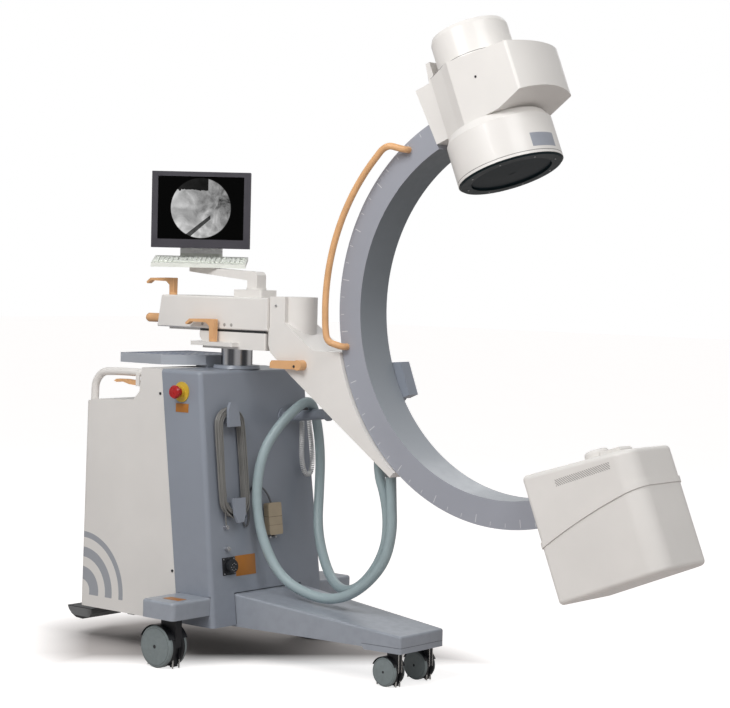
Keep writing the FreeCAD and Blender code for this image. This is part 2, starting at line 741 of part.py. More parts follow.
# Clamp under the carriage that grips both ends of the hose
clamp_rear_x = size("hose_clamp_rear_x", -66)
clamp_front_x = size("hose_clamp_front_x", 68)
clamp_plate = size("hose_clamp_plate", 8)
gland_radius = size("hose_gland_radius", 19)
hose_ends = ((37, -14, 582), (-30, 12, 628))


def under_edge(x):
    """Height of the carriage's straight lower edge at x."""
    slope = (edge_right[1] - edge_left[1]) / (edge_right[0] - edge_left[0])
    return edge_left[1] + (x - edge_left[0]) * slope


clamp = slab("hose_clamp", [
    (clamp_rear_x, under_edge(clamp_rear_x) - clamp_plate),
    (clamp_front_x, under_edge(clamp_front_x) - clamp_plate),
    (clamp_front_x, under_edge(clamp_front_x)), (clamp_rear_x, under_edge(clamp_rear_x))], 78)
for x, y, z in hose_ends:
    gland = circle(new_sketch(clamp, "XY_Plane", z), x, y, gland_radius)
    pad(clamp, gland, under_edge(x + gland_radius + clamp_plate / 2) - z)

# The C: a curved beam with a captive slot round its outside
c_profile = c_body("c_profile")
half = c_depth / 2
inner_slot = c_outer - slot_lip - slot_depth
section = [(-c_inner, -half), (-c_outer, -half), (-c_outer, -slot_mouth / 2),
           (-c_outer + slot_lip, -slot_mouth / 2), (-c_outer + slot_lip, -slot_width / 2),
           (-inner_slot, -slot_width / 2), (-inner_slot, slot_width / 2),
           (-c_outer + slot_lip, slot_width / 2), (-c_outer + slot_lip, slot_mouth / 2),
           (-c_outer, slot_mouth / 2), (-c_outer, half), (-c_inner, half)]
revolve(c_profile, polygon(new_sketch(c_profile, "XY_Plane"), section), 2 * c_half_span, both=True)

grab_radius = size("c_handle_radius", 9.5)
grab_ring = size("c_handle_ring", 597)
grab_foot = size("c_handle_foot_ring", 560)
grab_offset = size("c_handle_offset", 41)
grab_low = size("c_handle_low_angle", 169.5)
grab_high = size("c_handle_high_angle", 105.5)


def c_handle_shape():
    """A tube that leaves the C's near face, runs round outside its rim and comes back."""
    face = -number(c_depth) / 2
    out = face - number(grab_offset)
    foot = number(grab_foot)

    def spot(ring, angle, y):
        turn = math.radians(angle)
        return (ring * math.cos(turn), y, ring * math.sin(turn))

    ring = number(grab_ring)
    low = number(grab_low)
    high = number(grab_high)
    route = [spot(foot, low, face), spot(foot, low, out + 19), spot(ring, low - 2, out)]
    steps = 7
    span = low - high - 10
    for index in range(steps + 1):
        route.append(spot(ring + 3, low - 5.5 - span * index / steps, out))
    route += [spot(ring - 6, high + 2.2, out), spot(foot, high, out + 19), spot(foot, high, face)]
    return tube("c_handle", route, number(grab_radius), cord=False)


computed("c_handle", c_handle_shape(), c_x, 0, c_z, (0, 1, 0), -c_tilt)

# Image intensifier
end_slope = size("c_end_slope", 6)
end_share = sine(end_slope) / cosine(end_slope)
mount_low = size("mount_box_low", 515)
mount_high = size("mount_box_high", 683)
mount = c_body("intensifier_mount")
pad(mount, polygon(new_sketch(mount), [
    (-mount_low * end_share, mount_low), (-12, mount_low), (-12, mount_high),
    (-mount_high * end_share, mount_high)]), 120, both=True)
neck = new_sketch(mount)
rectangle(neck, -12, -8, mount_low + 12, mount_high - 12)
pad(mount, neck, 100, both=True)
mount_cap = new_sketch(mount)
polygon(mount_cap, [(-34, mount_high), (-12, mount_high), (-12, mount_high + 62), (-26, mount_high + 62)])
pad(mount, mount_cap, 84, both=True)
can = c_body("intensifier_can")
revolve(can, polygon(new_sketch(can), [
    (0, can_face + 22), (can_radius - 34, can_face + 22), (can_radius - 34, can_face + 8),
    (can_radius - 8, can_face + 8), (can_radius - 8, can_face + 2), (can_radius, can_face + 2),
    (can_radius, can_top), (can_radius - 14, can_top + 22), (0, can_top + 22)]))
face_ring = c_body("intensifier_face_ring")
revolve(face_ring, polygon(new_sketch(face_ring), [
    (can_radius - 34, can_face - 3), (can_radius - 6, can_face - 3), (can_radius - 1, can_face + 2),
    (can_radius - 8, can_face + 2), (can_radius - 8, can_face + 8), (can_radius - 34, can_face + 8)]))
window = c_body("intensifier_window")
revolve(window, polygon(new_sketch(window), [
    (0, can_face + 1), (can_radius - 36, can_face + 2), (can_radius - 34, can_face + 4),
    (can_radius - 34, can_face + 22), (0, can_face + 22)]))
for piece in (can, face_ring, window):
    place(piece, c_x + beam_x * cosine(c_tilt), 0, c_z + beam_x * sine(c_tilt), (0, 1, 0), -c_tilt)
housing = c_body("intensifier_housing")
housing_side = [(-8, can_top + 22), (beam_x + 98, can_top + 22),
                (housing_nose, can_top + 52), (housing_nose, housing_top - 33), (66, housing_top),
                (-8, housing_top)]
pad(housing, polygon(new_sketch(housing), housing_side), 2 * housing_half, both=True)
for side in (-1, 1):
    corner = new_sketch(housing, "XY_Plane", housing_top + 5)
    polygon(corner, [(-9, side * 66), (54, side * 98), (92, side * housing_half),
                     (92, side * (housing_half + 4)), (-9, side * (housing_half + 4))])
    pocket(housing, corner, 260)
nose_cut = new_sketch(housing, "XY_Plane", housing_top + 5)
circle(nose_cut, housing_nose - nose_round, 0, nose_round)
circle(nose_cut, housing_nose - nose_round, 0, nose_round + 60)
pocket(housing, nose_cut, 260)
fillet(housing, 9, lambda edge: along(edge, (0, 0, 1)) and middle(edge).x > 0)
turret = circle(new_sketch(housing, "XY_Plane", housing_top - 50), beam_x, 0, camera_radius)
pad(housing, turret, 50)
camera = c_body("camera_housing")
revolve(camera, polygon(new_sketch(camera), [
    (0, housing_top), (camera_radius, housing_top), (camera_radius, camera_top - 16),
    (camera_radius - 5, camera_top - 4), (camera_radius - 18, camera_top), (0, camera_top)]))
place(camera, c_x + beam_x * cosine(c_tilt), 0, c_z + beam_x * sine(c_tilt), (0, 1, 0), -c_tilt)


# Tube head: two cover shells with a curved split, round the tube tank
def tube_outline(inset):
    """Side outline of the tube head, pulled in by an inset, extruded and rounded."""
    left = number(tube_left) + inset
    right = number(tube_right) - inset
    low = number(tube_bottom) + inset
    points = [(left, low), (right, low), (right, number(tube_top_right) - inset),
              (left, number(tube_top_left) - inset)]
    half_width = number(tube_half) - inset
    spots = [Vector(x, -half_width, z) for x, z in points]
    shape = Part.Face(Part.makePolygon(spots + spots[:1])).extrude(Vector(0, 2 * half_width, 0))
    shape = round_solid(shape, 52 - inset, lambda edge: along(edge, (0, 0, 1))
                        and middle(edge).x > right - 1)
    shape = round_solid(shape, 14 - inset / 2, lambda edge: along(edge, (0, 0, 1))
                        and middle(edge).x < left + 1)
    return round_solid(shape, 13 - inset / 2, lambda edge: middle(edge).z < low + 0.1
                       or middle(edge).z > number(tube_top_right) - inset - 1)


def split_tool(lift):
    """Everything below the curved split line, raised by lift."""
    left = Vector(number(tube_left) - 30, -200, number(split_left) + lift - 8)
    halfway = Vector(number(tube_left + tube_right) / 2, -200, number(split_middle) + lift)
    right = Vector(number(tube_right) + 30, -200, number(split_right) + lift)
    curve = Part.BSplineCurve()
    curve.interpolate([left, halfway, right])
    low = number(tube_bottom) - 50
    base_left = Vector(left.x, -200, low)
    base_right = Vector(right.x, -200, low)
    edges = [curve.toShape(), Part.makeLine(right, base_right), Part.makeLine(base_right, base_left),
             Part.makeLine(base_left, left)]
    return Part.Face(Part.Wire(edges)).extrude(Vector(0, 400, 0))


tube_hollow = tube_outline(number(tube_wall))
tube_entry = box_shape(tube_left - 5, tube_left + 20, -c_depth / 2 - gap, c_depth / 2 + gap, -582, -499)
tube_skin = tube_outline(0).cut(tube_hollow).cut(tube_entry)
lip_height = size("tube_lip_height", 3)
lip_width = size("tube_lip_width", 15)
boss_radius = size("collimator_boss_radius", 33)
boss_hole = Part.makeCylinder(number(boss_radius + gap), 80, Vector(number(beam_x), 0, -500))
lower_skin = tube_skin.common(split_tool(0))
proud_lip = tube_outline(-number(lip_height)).cut(tube_hollow).cut(tube_entry)
proud_lip = proud_lip.common(split_tool(number(lip_width))).cut(split_tool(0.3))
upper_skin = tube_skin.cut(split_tool(0.3)).cut(boss_hole).fuse(proud_lip).removeSplitter()
computed("tube_cover_lower", lower_skin, c_x, 0, c_z, (0, 1, 0), -c_tilt)
computed("tube_cover_upper", upper_skin, c_x, 0, c_z, (0, 1, 0), -c_tilt)
tank = c_body("tube_tank")
pad(tank, rectangle(new_sketch(tank), tube_left + 34, tube_right - 50, tube_bottom + tube_wall,
                    -505), 150, both=True)
tank_plate = new_sketch(tank)
polygon(tank_plate, [(505 * -end_share + 0.1, -505), (tube_left + 34, -505), (tube_left + 34, -573),
                     (573 * -end_share + 0.1, -573)])
pad(tank, tank_plate, 86, both=True)
collimator = c_body("collimator")
revolve(collimator, polygon(new_sketch(collimator), [
    (0, -505), (boss_radius, -505), (boss_radius, -431), (boss_radius - 4, -425),
    (boss_radius - 10, -423), (0, -423)]))
rise = (tube_top_left - tube_top_right) / (tube_right - tube_left)
wedge = new_sketch(collimator)
polygon(wedge, [(boss_radius - 6, tube_top_left - rise * (beam_x - tube_left + boss_radius - 6) + 0.4),
                (92, tube_top_left - rise * (beam_x - tube_left + 92) + 0.4), (92, -446),
                (86, -439), (boss_radius - 6, -436)])
pad(collimator, wedge, 56, both=True)
place(collimator, c_x + beam_x * cosine(c_tilt), 0, c_z + beam_x * sine(c_tilt), (0, 1, 0), -c_tilt)

# Monitor on a swivelling arm
base_block = new_body("monitor_base")
pad(base_block, rectangle(new_sketch(base_block, "XY_Plane", arm_top), monitor_post_x - 62,
                          monitor_post_x + 52, -36, 36), 22)
fillet(base_block, 6, lambda edge: along(edge, (0, 0, 1)))
monitor_arm = new_body("monitor_arm", monitor_post_x, 0, arm_top + 22 + seat_gap)
arm_reach = monitor_post_x - monitor_x
shelf_drop = monitor_shelf_z - arm_top - 22 - seat_gap
pad(monitor_arm, polygon(new_sketch(monitor_arm), [
    (20, 0), (20, 44), (12, 54),
    (-arm_reach - 26, shelf_drop - 6), (-arm_reach - 26, shelf_drop - 22), (-20, 28), (-20, 0)]),
    40, both=True)
fillet(monitor_arm, 3, lambda edge: along(edge, (0, 1, 0)) and middle(edge).z > 20)
pad(monitor_arm, circle(new_sketch(monitor_arm, "XY_Plane"), 0, 0, 30), 6)
shelf = new_body("keyboard_shelf", monitor_x, 0, monitor_shelf_z, (0, 0, 1), screen_turn)
pad(shelf, polygon(new_sketch(shelf, "YZ_Plane"), [
    (-78, -10), (60, 14), (60, 26), (-78, 2)]), 288, both=True)
pad(shelf, circle(new_sketch(shelf, "XY_Plane", -6 + seat_gap), 0, 0, 22), 16)
tower_top = size("tower_height", 110)
pad(shelf, rectangle(new_sketch(shelf, "YZ_Plane"), 30, 46, 14, tower_top), 130, both=True)
prongs = new_sketch(shelf, "XY_Plane", tower_top)
for side in (-1, 1):
    rectangle(prongs, side * 36, side * 50, 30, 44)
pad(shelf, prongs, 24)
screen_z = monitor_base_z + bezel_height / 2
monitor = new_body("monitor_housing", monitor_x, 0, screen_z, (0, 0, 1), screen_turn)
pad(monitor, rectangle(new_sketch(monitor, "XZ_Plane", 20), -bezel_width / 2, bezel_width / 2,
                       -bezel_height / 2, bezel_height / 2), monitor_depth, back=True)
pocket(monitor, rectangle(new_sketch(monitor, "XZ_Plane", 20), -screen_width / 2, screen_width / 2,
                          -screen_height / 2 + 6, screen_height / 2 + 6), 6, back=False)
hinge_z = monitor_shelf_z + tower_top + 15 - screen_z
knuckle = new_sketch(monitor, "YZ_Plane")
circle(knuckle, 35, hinge_z, 9.5)
pad(monitor, knuckle, 70, both=True)
screen = new_body("monitor_screen", monitor_x, 0, screen_z, (0, 0, 1), screen_turn)
pad(screen, rectangle(new_sketch(screen, "XZ_Plane", 14), -screen_width / 2, screen_width / 2,
                      -screen_height / 2 + 6, screen_height / 2 + 6), 3)


# Orange clamp levers: an upright stem and a curved grip
def clamp_lever(label, x, y, z, rise):
    lever = new_body(label, x, y, z)
    pad(lever, polygon(new_sketch(lever), [
        (-9, 5), (9, 5), (10, rise + 12), (-24, rise + 12), (-grip_reach + 18, rise + 10),
        (-grip_reach, rise - 3), (-grip_reach + 6, rise - 8), (-grip_reach + 22, rise + 2),
        (-24, rise + 1), (-10, rise - 10)]), 17, both=True)
    fillet(lever, 2.5, lambda edge: along(edge, (0, 1, 0)) and middle(edge).z > 6)
    pad(lever, circle(new_sketch(lever, "XY_Plane"), 0, 0, 12.5), 9)
    return lever


clamp_lever("head_lock_lever", column_x - 12, -head_width / 2 - 18, head_z + 20 + seat_gap, 56)
clamp_lever("arm_lock_lever", arm_rear_x + 24, -50, arm_top + seat_gap, 40)
knob_blank = lathe("rear_knob_blank", [
    (0, 0), (10, 0), (10, 14), (14, 16), (14, 84), (11, 90), (0, 90)],
    arm_rear_x - 4, -40, arm_z - 24, (0, 1, 0), -90)
PARTS.remove(knob_blank)
knob = doc.addObject("Part::Cut", "rear_knob")
knob.Label = "rear_knob"
knob.Base = knob_blank
knob.Tool = arm
PARTS.append(knob)
hub_x = size("bracket_lever_x", -256)
hub_z = size("bracket_lever_z", 886)
lever = new_body("bracket_lever", hub_x, -bracket_width / 2 - seat_gap, hub_z)
pad(lever, circle(new_sketch(lever), 0, 0, 15), 26)
blade = new_sketch(lever, "XZ_Plane", 10)
polygon(blade, [(8, 13), (-grip_reach + 8, 10), (-grip_reach + 2, 2), (-grip_reach + 2, -13), (8, -13)])
pad(lever, blade, 12)
fillet(lever, 3, lambda edge: along(edge, (0, 1, 0)) and middle(edge).x < -20)

# Brake lever under the right handle and the foot pedal at the rear
hand_lever = new_body("hand_brake_lever", lever_pivot_x, -side_top + 14, lever_pivot_z)
pad(hand_lever, polygon(new_sketch(hand_lever), [
    (7, -7), (7, 7), (-60, 11), (-96, 10), (-108, 4), (-96, 0), (-70, 3), (-40, -4)]), 20, both=True)
pocket(hand_lever, circle(new_sketch(hand_lever), 0, 0, 3 + fit), 30, both=True)
pedal = new_body("foot_pedal", rear_x - 42, pedal_y, 0)
pad(pedal, polygon(new_sketch(pedal), [
    (-60, 96), (-54, 84), (-40, 71), (-20, 62), (10, 60), (34, 66), (48, 80), (50, 96)]), 140, both=True)
fillet(pedal, 6, lambda edge: along(edge, (0, 1, 0)) and middle(edge).z < 85)
crank = new_sketch(pedal)
polygon(crank, [(40, 82), (72, 92), (182, 92), (182, 108), (70, 104), (40, 94)])
pad(pedal, crank, 18, both=True)
bore = circle(new_sketch(pedal), pedal_pivot_x - rear_x + 42, pedal_pivot_z, 4 + fit)
pocket(pedal, bore, 30, both=True)

# Emergency stop on the right side of the front shell
stop_x = size("stop_button_x", -584)
stop_z = size("stop_button_z", 795)
stop_face = lean(stop_z, side_bottom, side_top)
side_slope = angle_of(side_bottom - side_top, deck_z - skirt_z)
collar_ring = lathe("stop_collar", [
    (12 + fit, 0), (30, 0), (30, 3), (17, 5), (17, 12), (12 + fit, 12)],
    stop_x, -stop_face, stop_z, (1, 0, 0), 90 - side_slope)
button = lathe("stop_button", [
    (0, 8), (12, 8), (12, 24), (19, 25), (20, 32), (17, 37), (0, 39)],
    stop_x, -stop_face, stop_z, (1, 0, 0), 90 - side_slope)

# Front panel fittings, drawn on the leaning front face: x is the height off the face
face_slope = angle_of(front_bottom_x - front_top_x, deck_z - skirt_z)


def on_face(label, y, z):
    """A body whose x axis leaves the front face squarely at the given height."""
    return new_body(label, lean(z, front_bottom_x, front_top_x), y, z, (0, 1, 0), -face_slope)


hank_y = size("hank_y", -139)
hank_z = size("hank_centre_height", 588)
hank_half = size("hank_half_width", 56)
hank_reach = size("hank_half_height", 163)
hank_band = size("hank_band", 20)
hank_depth = size("hank_depth", 22)
cleats = on_face("cable_cleats", hank_y, hank_z)
for side in (-1, 1):
    bottom = side * (hank_reach - hank_band - 26)
    top = side * (hank_reach - hank_band - 7)
    pad(cleats, rectangle(new_sketch(cleats, "YZ_Plane"), -17, 17, bottom, top), hank_depth + 12)
    tongue = new_sketch(cleats, "YZ_Plane", hank_depth + 7)
    low = side * (hank_reach - 58)
    high = side * (hank_reach + 14)
    polygon(tongue, [(-25, low), (25, low), (22, high - side * 22), (12, high), (-12, high),
                     (-22, high - side * 22)])
    pad(cleats, tongue, 9)

hank = on_face("lead_hank", hank_y, hank_z)
flat = hank_reach - hank_half


def stadium(sketch, half_width, straight):
    """A closed slot outline: two straight sides and two half rounds."""
    first = sketch.GeometryCount
    radius = number(half_width)
    rise = number(straight)
    for side in (-1, 1):
        start = Vector(side * radius, -side * rise, 0)
        end = Vector(side * radius, side * rise, 0)
        sketch.addGeometry(Part.LineSegment(start, end))
        crown = Vector(0, side * (rise + radius), 0)
        sketch.addGeometry(Part.Arc(end, crown, Vector(-side * radius, side * rise, 0)))
        for corner, spot in ((1, -1), (2, 1)):
            line = sketch.GeometryCount - 2
            fix_point(sketch, line, corner, (side * half_width, spot * side * straight))
    for step in (0, 2):
        other = first + (step + 2) % 4
        sketch.addConstraint(Sketcher.Constraint("Tangent", first + step, 2, first + step + 1, 1))
        sketch.addConstraint(Sketcher.Constraint("Coincident", first + step + 1, 2, other, 1))
    return sketch


band = new_sketch(hank, "YZ_Plane", 5)
stadium(band, hank_half, flat)
stadium(band, hank_half - hank_band, flat)
pad(hank, band, hank_depth)
fillet(hank, 8, lambda edge: True)

post_y = size("hose_post_y", 120)
post_z = size("hose_post_z", 712)
post_radius = size("hose_post_radius", 16)
post = on_face("hose_post", post_y, post_z)
for radius, length in ((27, 5), (post_radius, 176), (post_radius + 6, 8)):
    start = 0 if length != 8 else 176
    pad(post, circle(new_sketch(post, "YZ_Plane", start), 0, 0, radius), length)
switch_y = size("hand_switch_y", 18)
switch_z = size("hand_switch_z", 411)
switch = on_face("hand_switch_box", switch_y, switch_z)
pad(switch, rectangle(new_sketch(switch, "YZ_Plane"), -22, 22, -34, 34), 12)
pad(switch, rectangle(new_sketch(switch, "YZ_Plane", 12), -29, 29, -48, 48), 20)
fillet(switch, 6, lambda edge: along(edge, (1, 0, 0)) and abs(middle(edge).y) > 28)
sockets = on_face("panel_sockets", -168, 342)
for y, z, radius, length in ((-4, 60, 6, 12), (-3, -4, 7, 11), (2, -55, 24, 8), (2, -55, 19, 22),
                             (71, 86.6, 7, 14)):
    pad(sockets, circle(new_sketch(sockets, "YZ_Plane"), y, z, radius), length)
pad(sockets, rectangle(new_sketch(sockets, "YZ_Plane"), 332, 384, 376, 410), 32)
fillet(sockets, 5, lambda edge: along(edge, (1, 0, 0)) and middle(edge).y > 330)


def face_point(y, z, off):
    """A point a given height off the front face."""
    return (number(lean(Size(z, "0"), front_bottom_x, front_top_x)) + off, y, z)


tube("hand_switch_lead", [
    face_point(14, 461.5, 20), face_point(10, 486, 16), face_point(-12, 512, 7), face_point(-46, 512, 4.5),
    face_point(-66, 488, 4.5), face_point(-70, 448, 5), face_point(-72, 412, 6), face_point(-84, 396, 7),
    face_point(-95, 402, 7), face_point(-97, 420.3, 7)], 3)
tube("curly_cord", [
    face_point(176, 717.6, 24), face_point(170, 650, 24), face_point(161, 588, 24),
    face_point(169, 538, 24), face_point(200, 534, 24), face_point(214, 584, 24),
    face_point(212, 650, 24), face_point(205, 717.6, 24)], 5.5)

# Hose: one long loop that hangs from the carriage, lies on the leg and passes over the post
hose_route = [
    (37, -14, 581), (41, -14, 505), (46, -14, 425), (22, -14, 335), (-45, -16, 262), (-130, -20, 212),
    (-225, -28, 204), (-345, -46, 248), (-412, -60, 360), (-440, -62, 484), (-434, -46, 612),
    (-412, 4, 697), (-384, 74, 762), (-370, 166, 762), (-388, 228, 698), (-418, 226, 595),
    (-415, 200, 488), (-385, 160, 376), (-318, 118, 284), (-235, 74, 226), (-140, 36, 224),
    (-52, 18, 285), (2, 12, 368), (10, 12, 452), (-6, 12, 530), (-29, 12, 580), (-30, 12, 627.5)]
tube("main_hose", hose_route, 15)

doc.recompute()
faults = []
for item in doc.Objects:
    if "Invalid" in item.State or "Error" in item.State:
        faults.append("%s: %s" % (item.Label, item.State))
for item in PARTS:
    if item.Shape.isNull() or not item.Shape.isValid() or item.Shape.Volume < 1:
        faults.append("%s: bad shape" % item.Label)
if faults:
    raise RuntimeError("; ".join(faults))
os.makedirs("parts", exist_ok=True)
for item in PARTS:
    item.Shape.exportStep(os.path.join("parts", item.Label + ".step"))
whole = Part.makeCompound([item.Shape for item in PARTS]).BoundBox
print("parts %d, box x %.1f..%.1f, y %.1f..%.1f, z %.1f..%.1f" % (
    len(PARTS), whole.XMin, whole.XMax, whole.YMin, whole.YMax, whole.ZMin, whole.ZMax))
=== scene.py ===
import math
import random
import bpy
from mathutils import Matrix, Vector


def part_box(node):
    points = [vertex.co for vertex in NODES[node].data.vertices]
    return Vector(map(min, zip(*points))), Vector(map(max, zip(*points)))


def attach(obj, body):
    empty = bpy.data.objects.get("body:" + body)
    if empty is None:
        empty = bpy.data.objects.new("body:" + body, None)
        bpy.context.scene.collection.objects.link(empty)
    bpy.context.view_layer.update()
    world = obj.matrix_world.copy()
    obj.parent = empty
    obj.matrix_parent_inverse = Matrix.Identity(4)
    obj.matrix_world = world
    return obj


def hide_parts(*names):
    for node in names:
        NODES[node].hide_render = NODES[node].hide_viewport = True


bl_info = {
    "name": "Mobile C-arm dressing",
    "version": (1, 0, 0),
    "blender": (4, 5, 0),
    "location": "View3D > Sidebar > C-arm",
    "description": "Paints and details a mobile C-arm x-ray unit on its engineering frame",
    "category": "Object",
}

import bmesh
import bpy
from mathutils import Matrix, Vector

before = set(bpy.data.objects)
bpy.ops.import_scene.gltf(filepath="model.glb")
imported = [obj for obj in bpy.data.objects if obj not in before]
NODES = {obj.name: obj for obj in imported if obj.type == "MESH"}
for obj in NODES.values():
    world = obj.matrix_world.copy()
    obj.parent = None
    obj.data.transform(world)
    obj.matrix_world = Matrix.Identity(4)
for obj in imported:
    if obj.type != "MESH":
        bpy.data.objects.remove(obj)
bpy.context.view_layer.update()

# The drawing origin of the engineering model, and the C's centre and rest tilt
ORIGIN_X = 0.0467
C_CENTRE = Vector((0.45 + ORIGIN_X, 0.0, 1.058))
C_TILT = math.radians(22)

# The cabinet's skirt height, the rise of its walls and how far they lean in, in drawing millimetres
SKIRT_Z = 114
WALL_RISE = 745
FACE_LEAN = 88
SIDE_LEAN = 15
FACE_SLOPE = math.atan2(FACE_LEAN, WALL_RISE)
FACE_OUT = Vector((math.cos(FACE_SLOPE), 0, math.sin(FACE_SLOPE)))
FACE_UP = Vector((-math.sin(FACE_SLOPE), 0, math.cos(FACE_SLOPE)))
NEAR_SIDE = Vector((0, -1, 0))
WHEEL_RADII = {"rear": 0.0625, "front": 0.042}

# The intensifier's axis and can, and the power socket on the front panel, in drawing millimetres
INTENSIFIER_X = 111
CAN_RADIUS = 147.9
SOCKET_Y, SOCKET_Z = -166, 287.4

# Edges of a piece that turn more than this stay sharp
SHARP_ANGLE = math.radians(35)


def metres(x, y, z):
    """A point of the engineering drawing, in millimetres, as a place in the scene."""
    return Vector((x / 1000 + ORIGIN_X, y / 1000, z / 1000))


def on_c(x, y, z):
    """A point in the C's own frame, in millimetres, as a place in the scene."""
    spin = Matrix.Rotation(-C_TILT, 3, "Y")
    return C_CENTRE + spin @ Vector((x, y, z)) / 1000


def front_x(z):
    """The drawing's x of the leaning front face at height z."""
    return -425 - FACE_LEAN * (z - SKIRT_Z) / WALL_RISE


def side_y(z):
    """Half the cabinet's width at height z."""
    return 247 - SIDE_LEAN * (z - SKIRT_Z) / WALL_RISE


def off_face(off, y, z):
    """A point a given height off the front face."""
    return metres(front_x(z) + off, y, z)


# Sizes and colours that a user would change

class CArmSizes(bpy.types.PropertyGroup):
    """Sizes of the details"""
    hose_diameter: bpy.props.FloatProperty(
        name="Hose diameter", description="Outer diameter of the main hose", default=0.030,
        unit="LENGTH")
    lead_diameter: bpy.props.FloatProperty(
        name="Lead diameter", description="Diameter of the wound mains lead", default=0.0045,
        unit="LENGTH")
    curl_diameter: bpy.props.FloatProperty(
        name="Curl diameter", description="Outside of the hand switch's curly cord", default=0.017,
        unit="LENGTH")
    tick_step: bpy.props.FloatProperty(
        name="Tick step", description="Angle between two marks on the C's scale",
        default=math.radians(5), subtype="ANGLE")
    slat_pitch: bpy.props.FloatProperty(
        name="Slat pitch", description="Distance between two slots of the tube head's grille",
        default=0.0068, unit="LENGTH")


def shade(name, description, value):
    return bpy.props.FloatVectorProperty(
        name=name, description=description, default=value, size=3, min=0, max=1, subtype="COLOR")


class CArmColours(bpy.types.PropertyGroup):
    """Colours of the finishes, as linear values"""
    white: shade("White", "Enamel of the arm, intensifier and tube head", (0.80, 0.775, 0.745))
    cover: shade("Cover white", "Enamel of the rear cover", (0.735, 0.715, 0.69))
    shell: shade("Shell grey", "Blue grey enamel of the cabinet's front", (0.265, 0.292, 0.342))
    leg: shade("Leg grey", "Blue grey enamel of the leg and outriggers", (0.318, 0.345, 0.392))
    beam: shade("Beam grey", "Anodised grey of the C", (0.345, 0.358, 0.405))
    hose: shade("Hose grey", "Ribbed grey hose", (0.345, 0.430, 0.450))
    grip: shade("Orange", "Moulded orange grips and levers", (0.745, 0.420, 0.200))
    dark: shade("Black", "Black mouldings", (0.012, 0.013, 0.016))
    disc: shade("Castor disc", "Grey green castor discs", (0.205, 0.240, 0.245))
    keys: shade("Key surface", "Blue key membrane", (0.090, 0.120, 0.220))
    plate: shade("Plate", "Blank amber plates", (0.400, 0.152, 0.022))


def sizes():
    return bpy.context.scene.c_arm_sizes


def colours():
    return bpy.context.scene.c_arm_colours


# Shader expressions

class Wire:
    """A shader socket that works in Python arithmetic."""

    def __init__(self, finish, socket):
        self.finish = finish
        self.socket = socket

    def maths(self, operation, *values):
        return self.finish.add("ShaderNodeMath", {"operation": operation}, values)

    def __add__(self, other):
        return self.maths("ADD", self, other)

    def __sub__(self, other):
        return self.maths("SUBTRACT", self, other)

    def __mul__(self, other):
        return self.maths("MULTIPLY", self, other)

    def __mod__(self, other):
        return self.maths("FLOORED_MODULO", self, other)

    def __lt__(self, other):
        return self.maths("LESS_THAN", self, other)

    def __gt__(self, other):
        return self.maths("GREATER_THAN", self, other)

    def __rsub__(self, other):
        return self.maths("SUBTRACT", other, self)

    def __abs__(self):
        return self.maths("ABSOLUTE", self)

    __radd__ = __add__
    __rmul__ = __mul__

    def root(self):
        return self.maths("SQRT", self)

    def most(self, other):
        return self.maths("MAXIMUM", self, other)

    def between(self, low, high):
        return (self > low) * (self < high)


# Socket numbers of a Mix node that mixes colours
MIX_FACTOR, MIX_ONE, MIX_OTHER, MIX_RESULT = 0, 6, 7, 2


def with_alpha(colour):
    return colour if isinstance(colour, Wire) else (*colour, 1)


class Finish:
    """A material under construction: a Principled shader and the nodes that feed it."""

    def __init__(self, name, **sockets):
        self.material = bpy.data.materials.new(name)
        self.material.use_nodes = True
        self.tree = self.material.node_tree
        self.shader = self.tree.nodes["Principled BSDF"]
        for socket, value in sockets.items():
            self.set(socket.replace("_", " ").title().replace("Ior", "IOR"), value)
        self.place = self.add("ShaderNodeTexCoord", {}, (), "Object")

    def add(self, kind, settings, values, output=0):
        """Adds a node: its settings come first, then its sockets by position or by name."""
        node = self.tree.nodes.new(kind)
        for name, value in settings.items():
            setattr(node, name, value)
        pairs = values.items() if isinstance(values, dict) else enumerate(values)
        for name, value in pairs:
            if isinstance(value, Wire):
                self.tree.links.new(value.socket, node.inputs[name])
            else:
                node.inputs[name].default_value = value
        return Wire(self, node.outputs[output])

    def set(self, name, value):
        if isinstance(value, Wire):
            self.tree.links.new(value.socket, self.shader.inputs[name])
        else:
            self.shader.inputs[name].default_value = value

    def feed(self, name):
        """What already feeds a socket of the shader."""
        return Wire(self, self.shader.inputs[name].links[0].from_socket)

    def noise(self, scale, detail=2.0, place=None, warp=0.0):
        values = {"Vector": place or self.place, "Scale": scale, "Detail": detail, "Distortion": warp}
        return self.add("ShaderNodeTexNoise", {}, values)

    def split(self):
        node = self.add("ShaderNodeSeparateXYZ", {}, (self.place,)).socket.node
        return [Wire(self, socket) for socket in node.outputs]

    def ramp(self, fac, low, high, start=0.0, end=1.0):
        """Maps a value between start and end onto low to high."""
        values = (fac, start, end, low, high)
        return self.add("ShaderNodeMapRange", {"clamp": True}, values)

    def mix(self, fac, one, other):
        """Mixes two colours."""
        values = {MIX_FACTOR: fac, MIX_ONE: with_alpha(one), MIX_OTHER: with_alpha(other)}
        return self.add("ShaderNodeMix", {"data_type": "RGBA"}, values, MIX_RESULT)

    def bump(self, height, strength, distance):
        values = {"Strength": strength, "Distance": distance, "Height": height}
        if self.shader.inputs["Normal"].is_linked:
            values["Normal"] = self.feed("Normal")
        self.set("Normal", self.add("ShaderNodeBump", {}, values))


def tinted(colour, factor):
    return tuple(min(1.0, value * factor) for value in colour)


